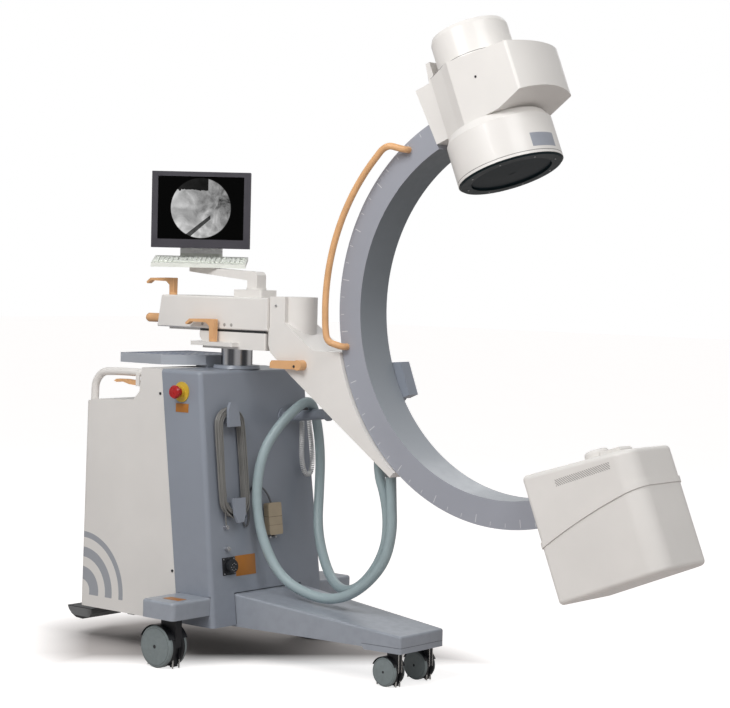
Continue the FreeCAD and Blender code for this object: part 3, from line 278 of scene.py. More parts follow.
def enamel(name, colour, rough=0.42, soil=0.10, peel=0.12):
    """Sprayed enamel: orange peel, faint cloudiness and a little soil near the floor."""
    finish = Finish(name, roughness=rough, coat_weight=0.25, coat_roughness=0.12)
    cloud = finish.noise(6, 3)
    height = finish.split()[2]
    scuffs = finish.noise(38, 6)
    low = finish.ramp(height, 1.0, 0.0, 0.05, 0.42) * finish.ramp(scuffs, 0.0, 1.0, 0.42, 0.72)
    base = finish.mix(finish.ramp(cloud, 0.0, 1.0, 0.3, 0.7), tinted(colour, 0.965), tinted(colour, 1.02))
    finish.set("Base Color", finish.mix(low * soil, base, tinted(colour, 0.6)))
    finish.set("Roughness", finish.ramp(scuffs, rough - 0.05, rough + 0.08, 0.3, 0.7))
    finish.bump(finish.noise(420, 2), peel, 0.0006)
    return finish


def moulded(name, colour, rough=0.5, grain=900, depth=0.15):
    """Moulded plastic with a fine spark texture."""
    finish = Finish(name, roughness=rough)
    patch = finish.noise(24, 3)
    base = finish.mix(finish.ramp(patch, 0.0, 1.0, 0.3, 0.7), tinted(colour, 0.93), tinted(colour, 1.05))
    finish.set("Base Color", base)
    finish.set("Roughness", finish.ramp(patch, rough - 0.06, rough + 0.06, 0.3, 0.7))
    finish.bump(finish.noise(grain, 2), depth, 0.0004)
    return finish


def metal(name, colour, rough, stretch=(1, 1, 1)):
    """Turned or drawn metal with fine lines across the stretched axis."""
    finish = Finish(name, metallic=1.0, roughness=rough)
    lines = finish.add("ShaderNodeMapping", {}, {"Vector": finish.place, "Scale": stretch})
    grain = finish.noise(300, 3, lines)
    finish.set("Base Color", finish.mix(grain, tinted(colour, 0.9), colour))
    finish.set("Roughness", finish.ramp(grain, max(0.03, rough - 0.06), rough + 0.08, 0.3, 0.7))
    finish.bump(grain, 0.1, 0.0002)
    return finish


def c_local(finish):
    """The shader's place in the C's own frame: along the beam's normal, depth and beam."""
    x, y, z = finish.split()
    across = x - C_CENTRE.x
    rise = z - C_CENTRE.z
    local_x = across * math.cos(C_TILT) + rise * math.sin(C_TILT)
    local_z = rise * math.cos(C_TILT) - across * math.sin(C_TILT)
    return local_x, y, local_z


def beam_finish():
    """Satin grey of the C, with a white degree scale near its outer rim on both faces and painted shade on
    its inner face.
    """
    finish = enamel("Beam enamel", colours().beam, 0.38, 0.0, 0.08)
    base = finish.feed("Base Color")
    x, y, z = c_local(finish)
    radius = (x * x + z * z).root()
    angle = z.maths("ARCTAN2", z, 0 - x)
    step = sizes().tick_step
    turn = abs(((angle + step / 2 + 20 * step) % step) - step / 2) * radius
    major = abs(((angle + step * 1.5 + 21 * step) % (3 * step)) - step * 1.5) * radius
    rim, fine_end, long_end, half_depth = 0.574, 0.563, 0.552, 0.0591
    fine = (turn < 0.0009) * radius.between(fine_end, rim)
    long = (major < 0.0011) * radius.between(long_end, rim)
    marks = fine.most(long) * (abs(y) > half_depth + 0.0001)
    face = finish.mix(marks * 0.6, base, (0.80, 0.80, 0.80))
    # painted shade: the C's inner face is painted dark slate, darker towards the top, for the shade that
    # falls inside the C
    inside = (radius < 0.5034) * (abs(y) < half_depth - 0.0001)
    height = finish.ramp(finish.split()[2], 0.0, 1.0, 0.55, 1.50)
    painted_shade_liner = finish.mix(height, (0.370, 0.395, 0.430), (0.092, 0.116, 0.134))
    finish.set("Base Color", finish.mix(inside, face, painted_shade_liner))
    return finish


def leg_finish():
    """Enamel of the leg and outriggers with the joint above the leg's end plate."""
    finish = enamel("Leg enamel", colours().leg, 0.36, 0.25, 0.2)
    base = finish.feed("Base Color")
    x, y, z = finish.split()
    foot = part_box("front_leg")[0].z
    joint = z.between(foot + 0.0155, foot + 0.0175) * (x > metres(20, 0, 0).x)
    finish.set("Base Color", finish.mix(joint * 0.6, base, (0.07, 0.075, 0.085)))
    finish.bump(1 - joint, 0.6, 0.0015)
    return finish


def shelf_finish():
    """Pale keyboard moulding, with painted light: the neck under the monitor is painted lighter to make up
    for the monitor's shade on it.
    """
    finish = moulded("Pale moulding", (0.80, 0.82, 0.76), 0.45)
    base = finish.feed("Base Color")
    # painted light: the neck is painted near white so it reads as lit although the monitor shades it
    painted_light_neck = finish.split()[2] > 1.206
    finish.set("Base Color", finish.mix(painted_light_neck, base, (0.98, 0.97, 0.99)))
    return finish


def socket_finish():
    """Black sockets and gland, with the two bare studs left bright."""
    finish = moulded("Socket black", colours().dark, 0.35)
    base = finish.feed("Base Color")
    stud = finish.split()[2].between(0.325, 0.414)
    finish.set("Base Color", finish.mix(stud, base, (0.62, 0.62, 0.64)))
    finish.set("Metallic", stud)
    return finish


def tube_head_finish():
    """White enamel with the slotted grille of the tube head's near face."""
    finish = enamel("Tube head enamel", colours().white, 0.4)
    base = finish.feed("Base Color")
    x, y, z = c_local(finish)
    lean = z + x * 0.036
    pitch = sizes().slat_pitch
    across = (x + lean * 0.8 + 200 * pitch) % pitch
    slot = across.between(pitch * 0.2, pitch * 0.68)
    near = abs(y) > 0.1185
    strip = x.between(0.040, 0.214) * lean.between(-0.4905, -0.4725) * near
    grille = slot * strip
    finish.set("Base Color", finish.mix(grille * 0.62, base, (0.20, 0.19, 0.18)))
    finish.bump(1 - grille, 0.9, 0.002)
    return finish


def seamed(name, colour, heights):
    """White enamel with thin dark joints at given heights along the beam."""
    finish = enamel(name, colour, 0.4)
    base = finish.feed("Base Color")
    z = c_local(finish)[2]
    seam = None
    for height in heights:
        line = z.between(height - 0.0009, height + 0.0009)
        seam = line if seam is None else seam + line
    finish.set("Base Color", finish.mix(seam * 0.75, base, (0.10, 0.10, 0.10)))
    finish.bump(1 - seam, 0.8, 0.0015)
    return finish


def castor_finish(node, radius):
    """Twin castor: black tread and rim, grey green disc with a dark hub cap."""
    finish = Finish("Castor " + node, roughness=0.6)
    low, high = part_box(node)
    centre = (low + high) / 2
    x, y, z = finish.split()
    across = x - centre.x
    rise = z - centre.z
    ring = (across * across + rise * rise).root()
    half = (high.y - low.y) / 2
    outside = abs(y - centre.y) > half * 0.62
    disc = (ring < radius * 1.01) * outside
    cap = ring < radius * 0.09
    groove = ring.between(radius * 0.855, radius * 0.875) * outside
    patch = finish.noise(90, 4)
    grey = finish.mix(patch, tinted(colours().disc, 0.85), tinted(colours().disc, 1.15))
    black = finish.mix(patch, (0.010, 0.011, 0.013), (0.030, 0.031, 0.034))
    face = finish.mix(disc, black, grey)
    face = finish.mix(groove * 0.6, face, (0.05, 0.055, 0.06))
    finish.set("Base Color", finish.mix(cap, face, (0.02, 0.021, 0.024)))
    finish.set("Roughness", finish.ramp(disc, 0.62, 0.42))
    finish.bump(1 - groove, 0.7, 0.002)
    finish.bump(finish.noise(500, 2), 0.12, 0.0004)
    return finish


def glass_finish():
    """Dark carbon window of the intensifier with a glossy face."""
    finish = Finish("Carbon window", roughness=0.3, ior=1.12)
    weave = finish.add("ShaderNodeTexWave", {"wave_type": "BANDS"},
                       {"Vector": finish.place, "Scale": 260, "Distortion": 0.4})
    finish.set("Base Color", finish.mix(weave, (0.004, 0.011, 0.015), (0.010, 0.019, 0.025)))
    finish.set("Roughness", finish.ramp(weave, 0.25, 0.35))
    return finish


def column_finish():
    """Hard chromed column with painted reflections: soft dark and bright strips painted round the cylinder.
    """
    finish = Finish("Chromed column", metallic=1.0, roughness=0.16)
    low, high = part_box("lift_column")
    x, y, z = finish.split()
    across = x - (low.x + high.x) / 2
    # painted reflection: dark and bright strips by angle round the column's axis, standing in for what the
    # chrome would reflect
    reflection_wave = y.maths("ARCTAN2", y, across) * 7 + 0.6
    strip = reflection_wave.maths("SINE", reflection_wave)
    drawn = finish.add("ShaderNodeMapping", {}, {"Vector": finish.place, "Scale": (1, 1, 0.02)})
    grain = finish.noise(500, 3, drawn)
    tone = finish.mix(finish.ramp(strip, 0.0, 1.0, -0.55, 0.75), (0.13, 0.135, 0.15), (0.86, 0.87, 0.90))
    finish.set("Base Color", finish.mix(grain * 0.3, tone, (0.45, 0.46, 0.48)))
    finish.set("Roughness", finish.ramp(grain, 0.12, 0.26, 0.3, 0.7))
    return finish


def membrane_finish():
    """Key membrane: rows of lighter key fields on a blue ground."""
    finish = Finish("Key membrane", roughness=0.35)
    x, y, z = finish.split()
    cell_x = (x + 1.0) % 0.026
    cell_y = (y + 1.0) % 0.030
    field = cell_x.between(0.005, 0.021) * cell_y.between(0.006, 0.024)
    inside = x.between(-0.85, -0.66) * (abs(y) < 0.125)
    pick = finish.noise(30, 0)
    key = finish.mix(pick > 0.52, (0.22, 0.28, 0.40), (0.52, 0.53, 0.54))
    finish.set("Base Color", finish.mix(field * inside, colours().keys, key))
    finish.bump(field * inside, 0.5, 0.0008)
    return finish


def screen_finish():
    """A lit fluoroscopy picture of no particular subject: a round field with soft shapes."""
    finish = Finish("Screen picture", roughness=0.3, ior=1.1)
    low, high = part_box("monitor_screen")
    centre = (low + high) / 2
    turn = math.radians(39.5)
    x, y, z = finish.split()
    along = (x - centre.x) * math.cos(turn) + (y - centre.y) * math.sin(turn)
    rise = z - centre.z
    ring = (along * along + rise * rise).root()
    field = finish.ramp(ring, 1.0, 0.0, 0.0910, 0.0925)
    grain = finish.noise(260, 3)
    folds = finish.noise(19, 5, warp=1.6)
    shapes = finish.noise(13, 1, warp=0.6)
    light = finish.ramp(along + rise * 0.3, 0.66, 0.16, -0.10, 0.075)
    value = light + finish.ramp(folds, -0.15, 0.17, 0.3, 0.7) + finish.ramp(grain, -0.03, 0.03, 0.3, 0.7)
    value = value * finish.ramp(shapes, 0.72, 1.25, 0.40, 0.60)
    torn = rise + finish.ramp(folds, -0.008, 0.008, 0.3, 0.7) > 0.054
    value = value * (1 - torn * (along < 0.022) * 0.97)
    tool = abs(rise * 0.763 - along * 0.646 + 0.040) < 0.0058 + along * -0.03
    value = value * (1 - tool * (along < 0.030) * 0.88)
    picture = value.most(0.0) * field
    tone = finish.add("ShaderNodeCombineXYZ", {}, (picture, picture, picture))
    finish.set("Base Color", finish.mix(grain, (0.001, 0.001, 0.001), (0.002, 0.002, 0.002)))
    finish.set("Emission Color", tone)
    finish.set("Emission Strength", 1.0)
    return finish


def cover_finish():
    """White enamel of the rear cover with a plain printed pattern of grey arcs low on its side."""
    finish = enamel("Rear cover enamel", colours().cover, 0.45, 0.0)
    base = finish.feed("Base Color")
    x, y, z = finish.split()
    across = x - metres(-990, 0, 0).x
    rise = z - 0.16
    ring = (across * across + rise * rise).root()
    bands = ring.between(0.035, 0.075) + ring.between(0.105, 0.135) + ring.between(0.165, 0.183)
    side = (abs(y) > 0.225) * (z > 0.150)
    finish.set("Base Color", finish.mix(bands * side * 0.9, base, (0.29, 0.31, 0.35)))
    return finish


def switch_finish():
    """Beige hand switch in a grey holder: the holder is everything close to the panel."""
    finish = moulded("Hand switch beige", (0.390, 0.318, 0.222), 0.5)
    base = finish.feed("Base Color")
    x, y, z = finish.split()
    foot = metres(front_x(411), 0, 411)
    off = (x - foot.x) * math.cos(FACE_SLOPE) + (z - foot.z) * math.sin(FACE_SLOPE)
    seam = z.between(0.4205, 0.4220) + z.between(0.3955, 0.3965) * (off > 0.028)
    holder = off < 0.0125
    skin = finish.mix(holder, base, (0.20, 0.22, 0.25))
    finish.set("Base Color", finish.mix(seam * (1 - holder) * 0.6, skin, (0.05, 0.04, 0.03)))
    finish.bump(1 - seam, 0.6, 0.001)
    return finish


def give(node, finish):
    """Every material slot of a CAD node takes the finish."""
    mesh = NODES[node].data
    if not mesh.materials:
        mesh.materials.append(finish.material)
    for index in range(len(mesh.materials)):
        mesh.materials[index] = finish.material


# Mesh pieces

def add_piece(name, body, finish, grid):
    """Turns a bmesh into a piece that rides on a body."""
    bmesh.ops.recalc_face_normals(grid, faces=grid.faces)
    mesh = bpy.data.meshes.new(name)
    grid.to_mesh(mesh)
    grid.free()
    piece = bpy.data.objects.new(name, mesh)
    bpy.context.scene.collection.objects.link(piece)
    mesh.materials.append(finish.material)
    mesh.shade_smooth()
    mesh.set_sharp_from_angle(angle=SHARP_ANGLE)
    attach(piece, body)


def aim(centre, normal, up=(0, 0, 1)):
    """A matrix whose z axis is the normal at the centre."""
    z = Vector(normal).normalized()
    x = Vector(up).cross(z)
    if x.length < 1e-5:
        x = Vector((1, 0, 0)).cross(z)
    x.normalize()
    y = z.cross(x)
    turn = Matrix((x, y, z)).transposed().to_4x4()
    turn.translation = centre
    return turn


def bevelled(grid, edges, offset, segments=2):
    bmesh.ops.bevel(grid, geom=list(edges), offset=offset, segments=segments, affect="EDGES",
                    profile=0.5, material=-1)


def block(grid, matrix, width, height, depth, round_off=0.0, segments=2):
    """A box that stands on its base plane, with rounded edges."""
    made = bmesh.ops.create_cube(grid, size=1.0)
    bmesh.ops.scale(grid, vec=(width, height, depth), verts=made["verts"])
    bmesh.ops.translate(grid, vec=(0, 0, depth / 2), verts=made["verts"])
    verts = set(made["verts"])
    if round_off:
        edges = {edge for vert in verts for edge in vert.link_edges}
        seen = set(grid.verts) - verts
        bevelled(grid, edges, round_off, segments)
        verts = set(grid.verts) - seen
    bmesh.ops.transform(grid, matrix=matrix, verts=list(verts))


def disc(grid, matrix, radius, depth, segments=24, chamfer=0.0):
    """A short round boss, with a bevelled top edge."""
    made = bmesh.ops.create_cone(grid, cap_ends=True, segments=segments, radius1=radius,
                                 radius2=radius, depth=depth)
    bmesh.ops.translate(grid, vec=(0, 0, depth / 2), verts=made["verts"])
    verts = set(made["verts"])
    if chamfer:
        edges = {edge for vert in verts for edge in vert.link_edges
                 if all(abs(v.co.z - depth) < 1e-6 for v in edge.verts)}
        seen = set(grid.verts) - verts
        bevelled(grid, edges, chamfer)
        verts = set(grid.verts) - seen
    bmesh.ops.transform(grid, matrix=matrix, verts=list(verts))


def sheet(grid, place, across, along, thickness):
    """A curved sheet: place turns two numbers from -1 to 1 into a point of it."""
    made = bmesh.ops.create_grid(grid, x_segments=across, y_segments=along, size=1)
    for vert in made["verts"]:
        vert.co = place(vert.co.x, vert.co.y)
    faces = list({face for vert in made["verts"] for face in vert.link_faces})
    bmesh.ops.recalc_face_normals(grid, faces=faces)
    bmesh.ops.solidify(grid, geom=faces, thickness=thickness)


def screw(grid, matrix, radius):
    """A pan head screw with a hexagon socket."""
    disc(grid, matrix, radius, radius * 0.55, 20, radius * 0.18)
    lift = matrix @ Matrix.Translation((0, 0, radius * 0.56))
    disc(grid, lift, radius * 0.42, radius * 0.05, 6)


def nurbs_line(name, points, resolution):
    """Curve data with one smooth spline along a route."""
    line = bpy.data.curves.new(name, "CURVE")
    line.dimensions = "3D"
    line.resolution_u = resolution
    spline = line.splines.new("NURBS")
    spline.points.add(len(points) - 1)
    for spot, point in zip(spline.points, points):
        spot.co = (*point, 1)
    spline.order_u = 3
    spline.use_endpoint_u = True
    return line


def curve_piece(name, body, finish, points, diameter):
    """A smooth tube along a route."""
    line = nurbs_line(name, points, 8)
    line.bevel_depth = diameter / 2
    line.bevel_resolution = 5
    line.use_fill_caps = True
    line.materials.append(finish.material)
    piece = bpy.data.objects.new(name, line)
    bpy.context.scene.collection.objects.link(piece)
    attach(piece, body)
    return piece


def spline_points(points, resolution=24):
    """Points of the smooth line that a route's spline follows."""
    probe = bpy.data.objects.new("probe", nurbs_line("probe", points, resolution))
    bpy.context.scene.collection.objects.link(probe)
    bpy.context.view_layer.update()
    mesh = bpy.data.meshes.new_from_object(probe.evaluated_get(
        bpy.context.evaluated_depsgraph_get()))
    found = [vert.co.copy() for vert in mesh.vertices]
    bpy.data.objects.remove(probe)
    bpy.data.meshes.remove(mesh)
    return found


def run_length(points):
    return sum((b - a).length for a, b in zip(points, points[1:]))


# Camera and cords

class CARM_OT_camera(bpy.types.Operator):
    """Place the camera where the reference view was taken from"""
    bl_idname = "carm.camera"
    bl_label = "Camera"

    def execute(self, context):
        azimuth, elevation, roll = 0.6902, 0.0416, 0.0233
        back = Vector((math.sin(azimuth) * math.cos(elevation),
                       -math.cos(azimuth) * math.cos(elevation), math.sin(elevation)))
        right = Vector((math.cos(azimuth), math.sin(azimuth), 0))
        up = back.cross(right)
        level = math.cos(roll) * right + math.sin(roll) * up
        upright = math.cos(roll) * up - math.sin(roll) * right
        data = bpy.data.cameras.new("Camera")
        data.sensor_fit = "HORIZONTAL"
        data.sensor_width = 36
        focal_pixels, picture_width = 1977.9, 730
        data.lens = focal_pixels / picture_width * data.sensor_width
        data.clip_start = 0.05
        camera = bpy.data.objects.new("Camera", data)
        turn = Matrix((level, upright, back)).transposed().to_4x4()
        turn.translation = Vector((3.0855 + 0.45 + ORIGIN_X, -4.3798, 1.1616))
        camera.matrix_world = turn
        context.scene.collection.objects.link(camera)
        context.scene.camera = camera
        return {"FINISHED"}


HOSE_ROUTE = [
    (37, -14, 581), (41, -14, 505), (46, -14, 425), (22, -14, 335), (-45, -16, 262), (-130, -20, 212),
    (-225, -28, 204), (-345, -46, 248), (-412, -60, 360), (-440, -62, 484), (-434, -46, 612),
    (-412, 4, 697), (-384, 74, 764), (-390, 128, 766), (-411, 181, 693), (-424, 213, 593),
    (-415, 200, 488), (-385, 160, 376), (-318, 118, 284), (-235, 74, 226), (-140, 36, 224),
    (-52, 18, 285), (2, 12, 368), (10, 12, 452), (-6, 12, 530), (-29, 12, 580), (-30, 12, 627.5)]


class CARM_OT_hose(bpy.types.Operator):
    """Lay the main hose: down from the carriage, over the leg and the post, and back"""
    bl_idname = "carm.hose"
    bl_label = "Main hose"

    def execute(self, context):
        finish = Finish("Hose rubber", roughness=0.42)
        patch = finish.noise(30, 4)
        base = finish.mix(patch, tinted(colours().hose, 0.9), tinted(colours().hose, 1.08))
        finish.set("Base Color", base)
        finish.set("Roughness", finish.ramp(patch, 0.36, 0.5, 0.3, 0.7))
        finish.bump(finish.noise(260, 3), 0.25, 0.0008)
        points = [metres(*point) for point in HOSE_ROUTE]
        diameter = sizes().hose_diameter
        piece = curve_piece("main_hose_skin", "base", finish, points, diameter)
        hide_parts("main_hose")
        length = run_length(spline_points(points))
        return {"FINISHED"}


class CARM_OT_hand_switch_cords(bpy.types.Operator):
    """Make the thin lead on the switch box and the curly cord beside it"""
    bl_idname = "carm.hand_switch_cords"
    bl_label = "Hand switch cords"

    def execute(self, context):
        grey = moulded("Cord grey", (0.13, 0.135, 0.145), 0.5)
        route = [(20, 14, 461.5), (16, 10, 486), (7, -12, 512), (4.5, -46, 512), (4.5, -66, 488),
                 (5, -70, 448), (6, -72, 412), (7, -84, 396), (7, -95, 402), (7, -97, 420.3)]
        points = [off_face(off, y, z) for off, y, z in route]
        lead = curve_piece("hand_switch_lead_skin", "base", grey, points, 0.006)
        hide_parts("hand_switch_lead")
        run_length(spline_points(points))
        white = moulded("Curly cord white", (0.78, 0.78, 0.78), 0.4)
        route = [(176, 717.6), (170, 650), (161, 588), (169, 538), (200, 534), (214, 584), (212, 650),
                 (205, 717.6)]
        points = [off_face(24, y, z) for y, z in route]
        line = spline_points(points, 40)
        total = run_length(line)
        wire = 0.0036
        reach = sizes().curl_diameter / 2 - wire / 2
        turns = 66
        helix = []
        walked = 0.0
        for before, here, after in zip(line, line[1:], line[2:]):
            walked += (here - before).length
            ahead = (after - before).normalized()
            side = Vector((1, 0, 0)).cross(ahead).normalized()
            out = ahead.cross(side)
            helix.append((walked, here, side, out))
        coil = [points[0]]
        steps = turns * 12
        index = 0
        for step in range(steps + 1):
            goal = total * (0.02 + 0.96 * step / steps)
            while index < len(helix) - 2 and helix[index + 1][0] < goal:
                index += 1
            low, high = helix[index], helix[index + 1]
            share = (goal - low[0]) / max(1e-9, high[0] - low[0])
            centre = low[1].lerp(high[1], max(0.0, min(1.0, share)))
            angle = 2 * math.pi * turns * step / steps
            coil.append(centre + (low[2] * math.cos(angle) + low[3] * math.sin(angle)) * reach)
        coil.append(points[-1])
        cord = curve_piece("curly_cord_coil", "base", white, coil, wire)
        cord.data.resolution_u = 2
        cord.data.bevel_resolution = 2
        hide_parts("curly_cord")
        run_length(spline_points(coil, 2))
        return {"FINISHED"}


class CARM_OT_lead_hank(bpy.types.Operator):
    """Wind the mains lead round the two cleats"""
    bl_idname = "carm.lead_hank"
    bl_label = "Mains lead hank"

    def execute(self, context):
        random.seed(5)
        finish = moulded("Mains lead", (0.200, 0.196, 0.186), 0.38)
        diameter = sizes().lead_diameter
        centre_y, centre_z = -139, 588
        origin = metres(front_x(centre_z), centre_y, centre_z)

        def spot(side, along, off):
            return origin + (Vector((0, side, 0)) + FACE_UP * along + FACE_OUT * off) / 1000

        points = [spot(-33, -182, 8), spot(-38, -165, 12), spot(-45, -140, 20)]
        straight = 105
        turns, rows, corners = 16, 4, 16
        for turn in range(turns):
            layer = turn // rows
            row = turn % rows if layer % 2 == 0 else rows - 1 - turn % rows
            half = 38.6 + row * 5.0 + random.uniform(-0.7, 0.7)
            off = 24.2 - layer * 5.2 + random.uniform(-0.4, 0.4)
            sag = random.uniform(-4.0, 3.0)
            for step in range(corners):
                angle = -math.pi + 2 * math.pi * (step + 0.5) / corners
                side = math.cos(angle)
                along = math.sin(angle)
                reach = straight * (1 if along > 0 else -1) + (sag if along < 0 else 0)
                points.append(spot(half * 1.06 * side, reach + half * 1.06 * along, off))
        points.append(spot(-24, -60, 4))
        points.append(spot(-20, -100, 3.6))
        piece = curve_piece("mains_lead_turns", "base", finish, points, diameter)
        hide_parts("lead_hank")
        run_length(spline_points(points))
        return {"FINISHED"}


# Finishes on the engineering nodes

class CARM_OT_paint_covers(bpy.types.Operator):
    """Enamel on the covers, housings, leg and arm"""
    bl_idname = "carm.paint_covers"
    bl_label = "Enamel"

    def execute(self, context):
        tones = colours()
        white = enamel("White enamel", tones.white)
        cover = cover_finish()
        shell = enamel("Shell enamel", tones.shell, 0.36, 0.2, 0.25)
        tray = enamel("Tray enamel", (0.40, 0.425, 0.47), 0.4, 0.0, 0.2)
        groups = {
            white: ["arm_housing", "swivel_head", "monitor_arm", "monitor_base", "carriage_bracket",
                    "intensifier_mount", "collimator", "push_handles"],
            cover: ["rear_cover"],
            shell: ["front_shell", "hose_post", "carriage_brake_housing", "cable_cleats",
                    "column_outer_tube"],
            tray: ["console_tray"],
            leg_finish(): ["front_leg", "outrigger_left", "outrigger_right"],
            beam_finish(): ["c_profile"],
            tube_head_finish(): ["tube_cover_lower", "tube_cover_upper"],
            seamed("Can enamel", tones.white, [0.372]): ["intensifier_can"],
            seamed("Housing enamel", tones.white, [0.6895]): ["intensifier_housing",
                                                                   "camera_housing"]}
        for finish, nodes in groups.items():
            for node in nodes:
                give(node, finish)
        return {"FINISHED"}


class CARM_OT_paint_parts(bpy.types.Operator):
    """Plastics, metals, rubber and glass of the other nodes"""
    bl_idname = "carm.paint_parts"
    bl_label = "Other finishes"

    def execute(self, context):
        tones = colours()
        orange = moulded("Orange grip", tones.grip, 0.42, 700, 0.1)
        black = moulded("Black moulding", tones.dark, 0.45)
        pedal = moulded("Pedal black", (0.016, 0.017, 0.020), 0.4)
        height = pedal.split()[2]
        well = (height > 0.068) * (height < 0.094)
        pedal.set("Base Color", pedal.mix(well, (0.014, 0.015, 0.018), (0.16, 0.165, 0.17)))
        iron = enamel("Dark enamel", (0.035, 0.038, 0.042), 0.5)
        gasket = moulded("Face ring black", (0.012, 0.022, 0.026), 0.35)
        gasket.set("IOR", 1.2)
        steel = metal("Ground steel", (0.62, 0.62, 0.63), 0.3, (1, 30, 1))
        groups = {
            orange: ["c_handle", "arm_lock_lever", "head_lock_lever", "bracket_lever", "rear_knob",
                     "hand_brake_lever"],
            pedal: ["foot_pedal"],
            socket_finish(): ["panel_sockets"],
            moulded("Bezel", (0.044, 0.041, 0.052), 0.5): ["monitor_housing"],
            moulded("Hose gland", (0.16, 0.18, 0.19), 0.5): ["hose_clamp"],
            shelf_finish(): ["keyboard_shelf"],
            switch_finish(): ["hand_switch_box"],
            iron: ["chassis_frame", "tube_tank"],
            gasket: ["intensifier_face_ring"],
            column_finish(): ["lift_column"],
            steel: ["flip_shaft", "roller_truck", "carriage_rollers"],
            glass_finish(): ["intensifier_window"],
            membrane_finish(): ["control_membrane"],
            screen_finish(): ["monitor_screen"],
            moulded("Stop red", (0.40, 0.012, 0.012), 0.25, 400, 0.05): ["stop_button"],
            moulded("Stop yellow", (0.60, 0.40, 0.04), 0.35): ["stop_collar"]}
        for finish, nodes in groups.items():
            for node in nodes:
                give(node, finish)
        for end, radius in WHEEL_RADII.items():
            for side in ("left", "right"):
                name = "%s_castor_%s" % (end, side)
                give(name + "_fork", black)
                give(name + "_wheels", castor_finish(name + "_wheels", radius))
        return {"FINISHED"}


def dark_screws(black):
    """The rear cover's screws and the dot on the bracket's lever."""
    grid = bmesh.new()
    for x, z in ((-674, 785), (-599, 264)):
        screw(grid, aim(metres(x, -side_y(z), z), (0, -1, 0.02)), 0.0042)
    add_piece("cover_screws", "base", black, grid)
    grid = bmesh.new()
    disc(grid, aim(metres(-268, -96.2, 882), NEAR_SIDE), 0.0042, 0.001, 16, 0.0003)
    add_piece("lever_screw", "bracket_lever", black, grid)


def bright_screws(steel):
    """Screws round the intensifier's face ring and in the carriage bracket."""
    grid = bmesh.new()
    down = on_c(0, 0, 0) - on_c(0, 0, 1)
    for step in range(8):
        angle = 2 * math.pi * (step + 0.5) / 8
        spot = on_c(INTENSIFIER_X + 126 * math.cos(angle), 126 * math.sin(angle), 359)
        screw(grid, aim(spot, down), 0.0024)
    add_piece("face_ring_screws", "c_arm", steel, grid)
    grid = bmesh.new()
    for x, z in ((-369, 1055), (-345, 955)):
        screw(grid, aim(metres(x, -65.9, z), NEAR_SIDE), 0.004)
    add_piece("carriage_screws", "carriage", steel, grid)


def blank_plates():
    """Amber plates on the cabinet and outrigger, and a grey one on the intensifier's can."""
    grid = bmesh.new()
    lean = Vector((0, -math.cos(0.0201), math.sin(0.0201)))
    up = (0, 0, 1)
    ahead = (0, 1, 0)
    block(grid, aim(metres(-581, -side_y(748), 748), lean), 0.052, 0.026, 0.0009, 0.0003)
    block(grid, aim(off_face(0, -93, 284.5), FACE_OUT), 0.086, 0.060, 0.0009, 0.0003)
    block(grid, aim(metres(-497, -335, 203), up, ahead), 0.064, 0.034, 0.0009, 0.0003)
    plate = moulded("Blank amber plate", colours().plate, 0.4)
    add_piece("amber_plates", "base", plate, grid)
    grid = bmesh.new()

    def on_can(across, up):
        angle = -0.162 + 0.295 * across
        out = CAN_RADIUS * math.cos(angle)
        return on_c(INTENSIFIER_X + out, CAN_RADIUS * math.sin(angle), 401 + 19 * up)

    sheet(grid, on_can, 14, 2, 0.0008)
    pale = moulded("Blank grey plate", (0.33, 0.35, 0.40), 0.35)
    add_piece("can_plate", "c_arm", pale, grid)


def panel_fittings(steel, black):
    """Caps, contacts, screws and clips of the front panel's sockets, and their flange."""
    grid = bmesh.new()
    for y, z, radius, off in ((-172, 401.6, 0.0063, 12), (-171, 338.0, 0.0073, 11)):
        disc(grid, aim(off_face(off, y, z), FACE_OUT), radius, 0.003, 20, 0.001)
    centre = off_face(22, SOCKET_Y, SOCKET_Z)
    for step in range(8):
        angle = step * math.pi / 4
        shift = Vector((0, math.cos(angle), math.sin(angle))) * (0.0105 if step else 0)
        disc(grid, aim(centre + shift, FACE_OUT), 0.0015, 0.0014, 10)
    for side in (-1, 1):
        for rise in (-1, 1):
            corner = off_face(3.2, SOCKET_Y + side * 21, SOCKET_Z + rise * 21)
            screw(grid, aim(corner, FACE_OUT), 0.0022)
    for y in (4, 28):
        disc(grid, aim(off_face(0, y, 357), FACE_OUT), 0.0042, 0.020, 16, 0.001)
    add_piece("terminal_caps", "base", steel, grid)
    grid = bmesh.new()
    block(grid, aim(off_face(0, SOCKET_Y, SOCKET_Z), FACE_OUT), 0.052, 0.052, 0.0032, 0.0008)
    add_piece("socket_flange", "base", black, grid)


def arm_details(black):
    """Dark strips of painted shade in the arm's slide gap, the housing's plug and the marks on the arm."""
    grid = bmesh.new()
    # painted shade: thin black strips put in the slide gap under the arm to stand in for the shade in that
    # gap
    for side in (-1, 1):
        block(grid, aim(metres(-538, side * 71.5, 972.3), (0, 0, 1), (0, 1, 0)), 0.268, 0.001, 0.0062)
    add_piece("slide_seals", "swivel_head", black, grid)
    grid = bmesh.new()
    disc(grid, aim(on_c(170, -122, 610), NEAR_SIDE), 0.0035, 0.001, 12)
    add_piece("housing_plug", "c_arm", black, grid)
    grid = bmesh.new()
    for x in (-660, -600, -568, -540):
        disc(grid, aim(metres(x, -75, 993), NEAR_SIDE), 0.005, 0.0008, 16, 0.0003)
    add_piece("arm_marks", "arm", moulded("Mark grey", (0.36, 0.35, 0.33)), grid)


class CARM_OT_small_hardware(bpy.types.Operator):
    """Screws, blank plates, panel fittings and dark strips of painted shade in the arm's slide"""
    bl_idname = "carm.small_hardware"
    bl_label = "Small hardware"

    def execute(self, context):
        steel = metal("Screw steel", (0.55, 0.55, 0.56), 0.28)
        black = moulded("Small parts black", (0.02, 0.021, 0.024), 0.4)
        dark_screws(black)
        bright_screws(steel)
        blank_plates()
        panel_fittings(steel, black)
        arm_details(black)
        return {"FINISHED"}


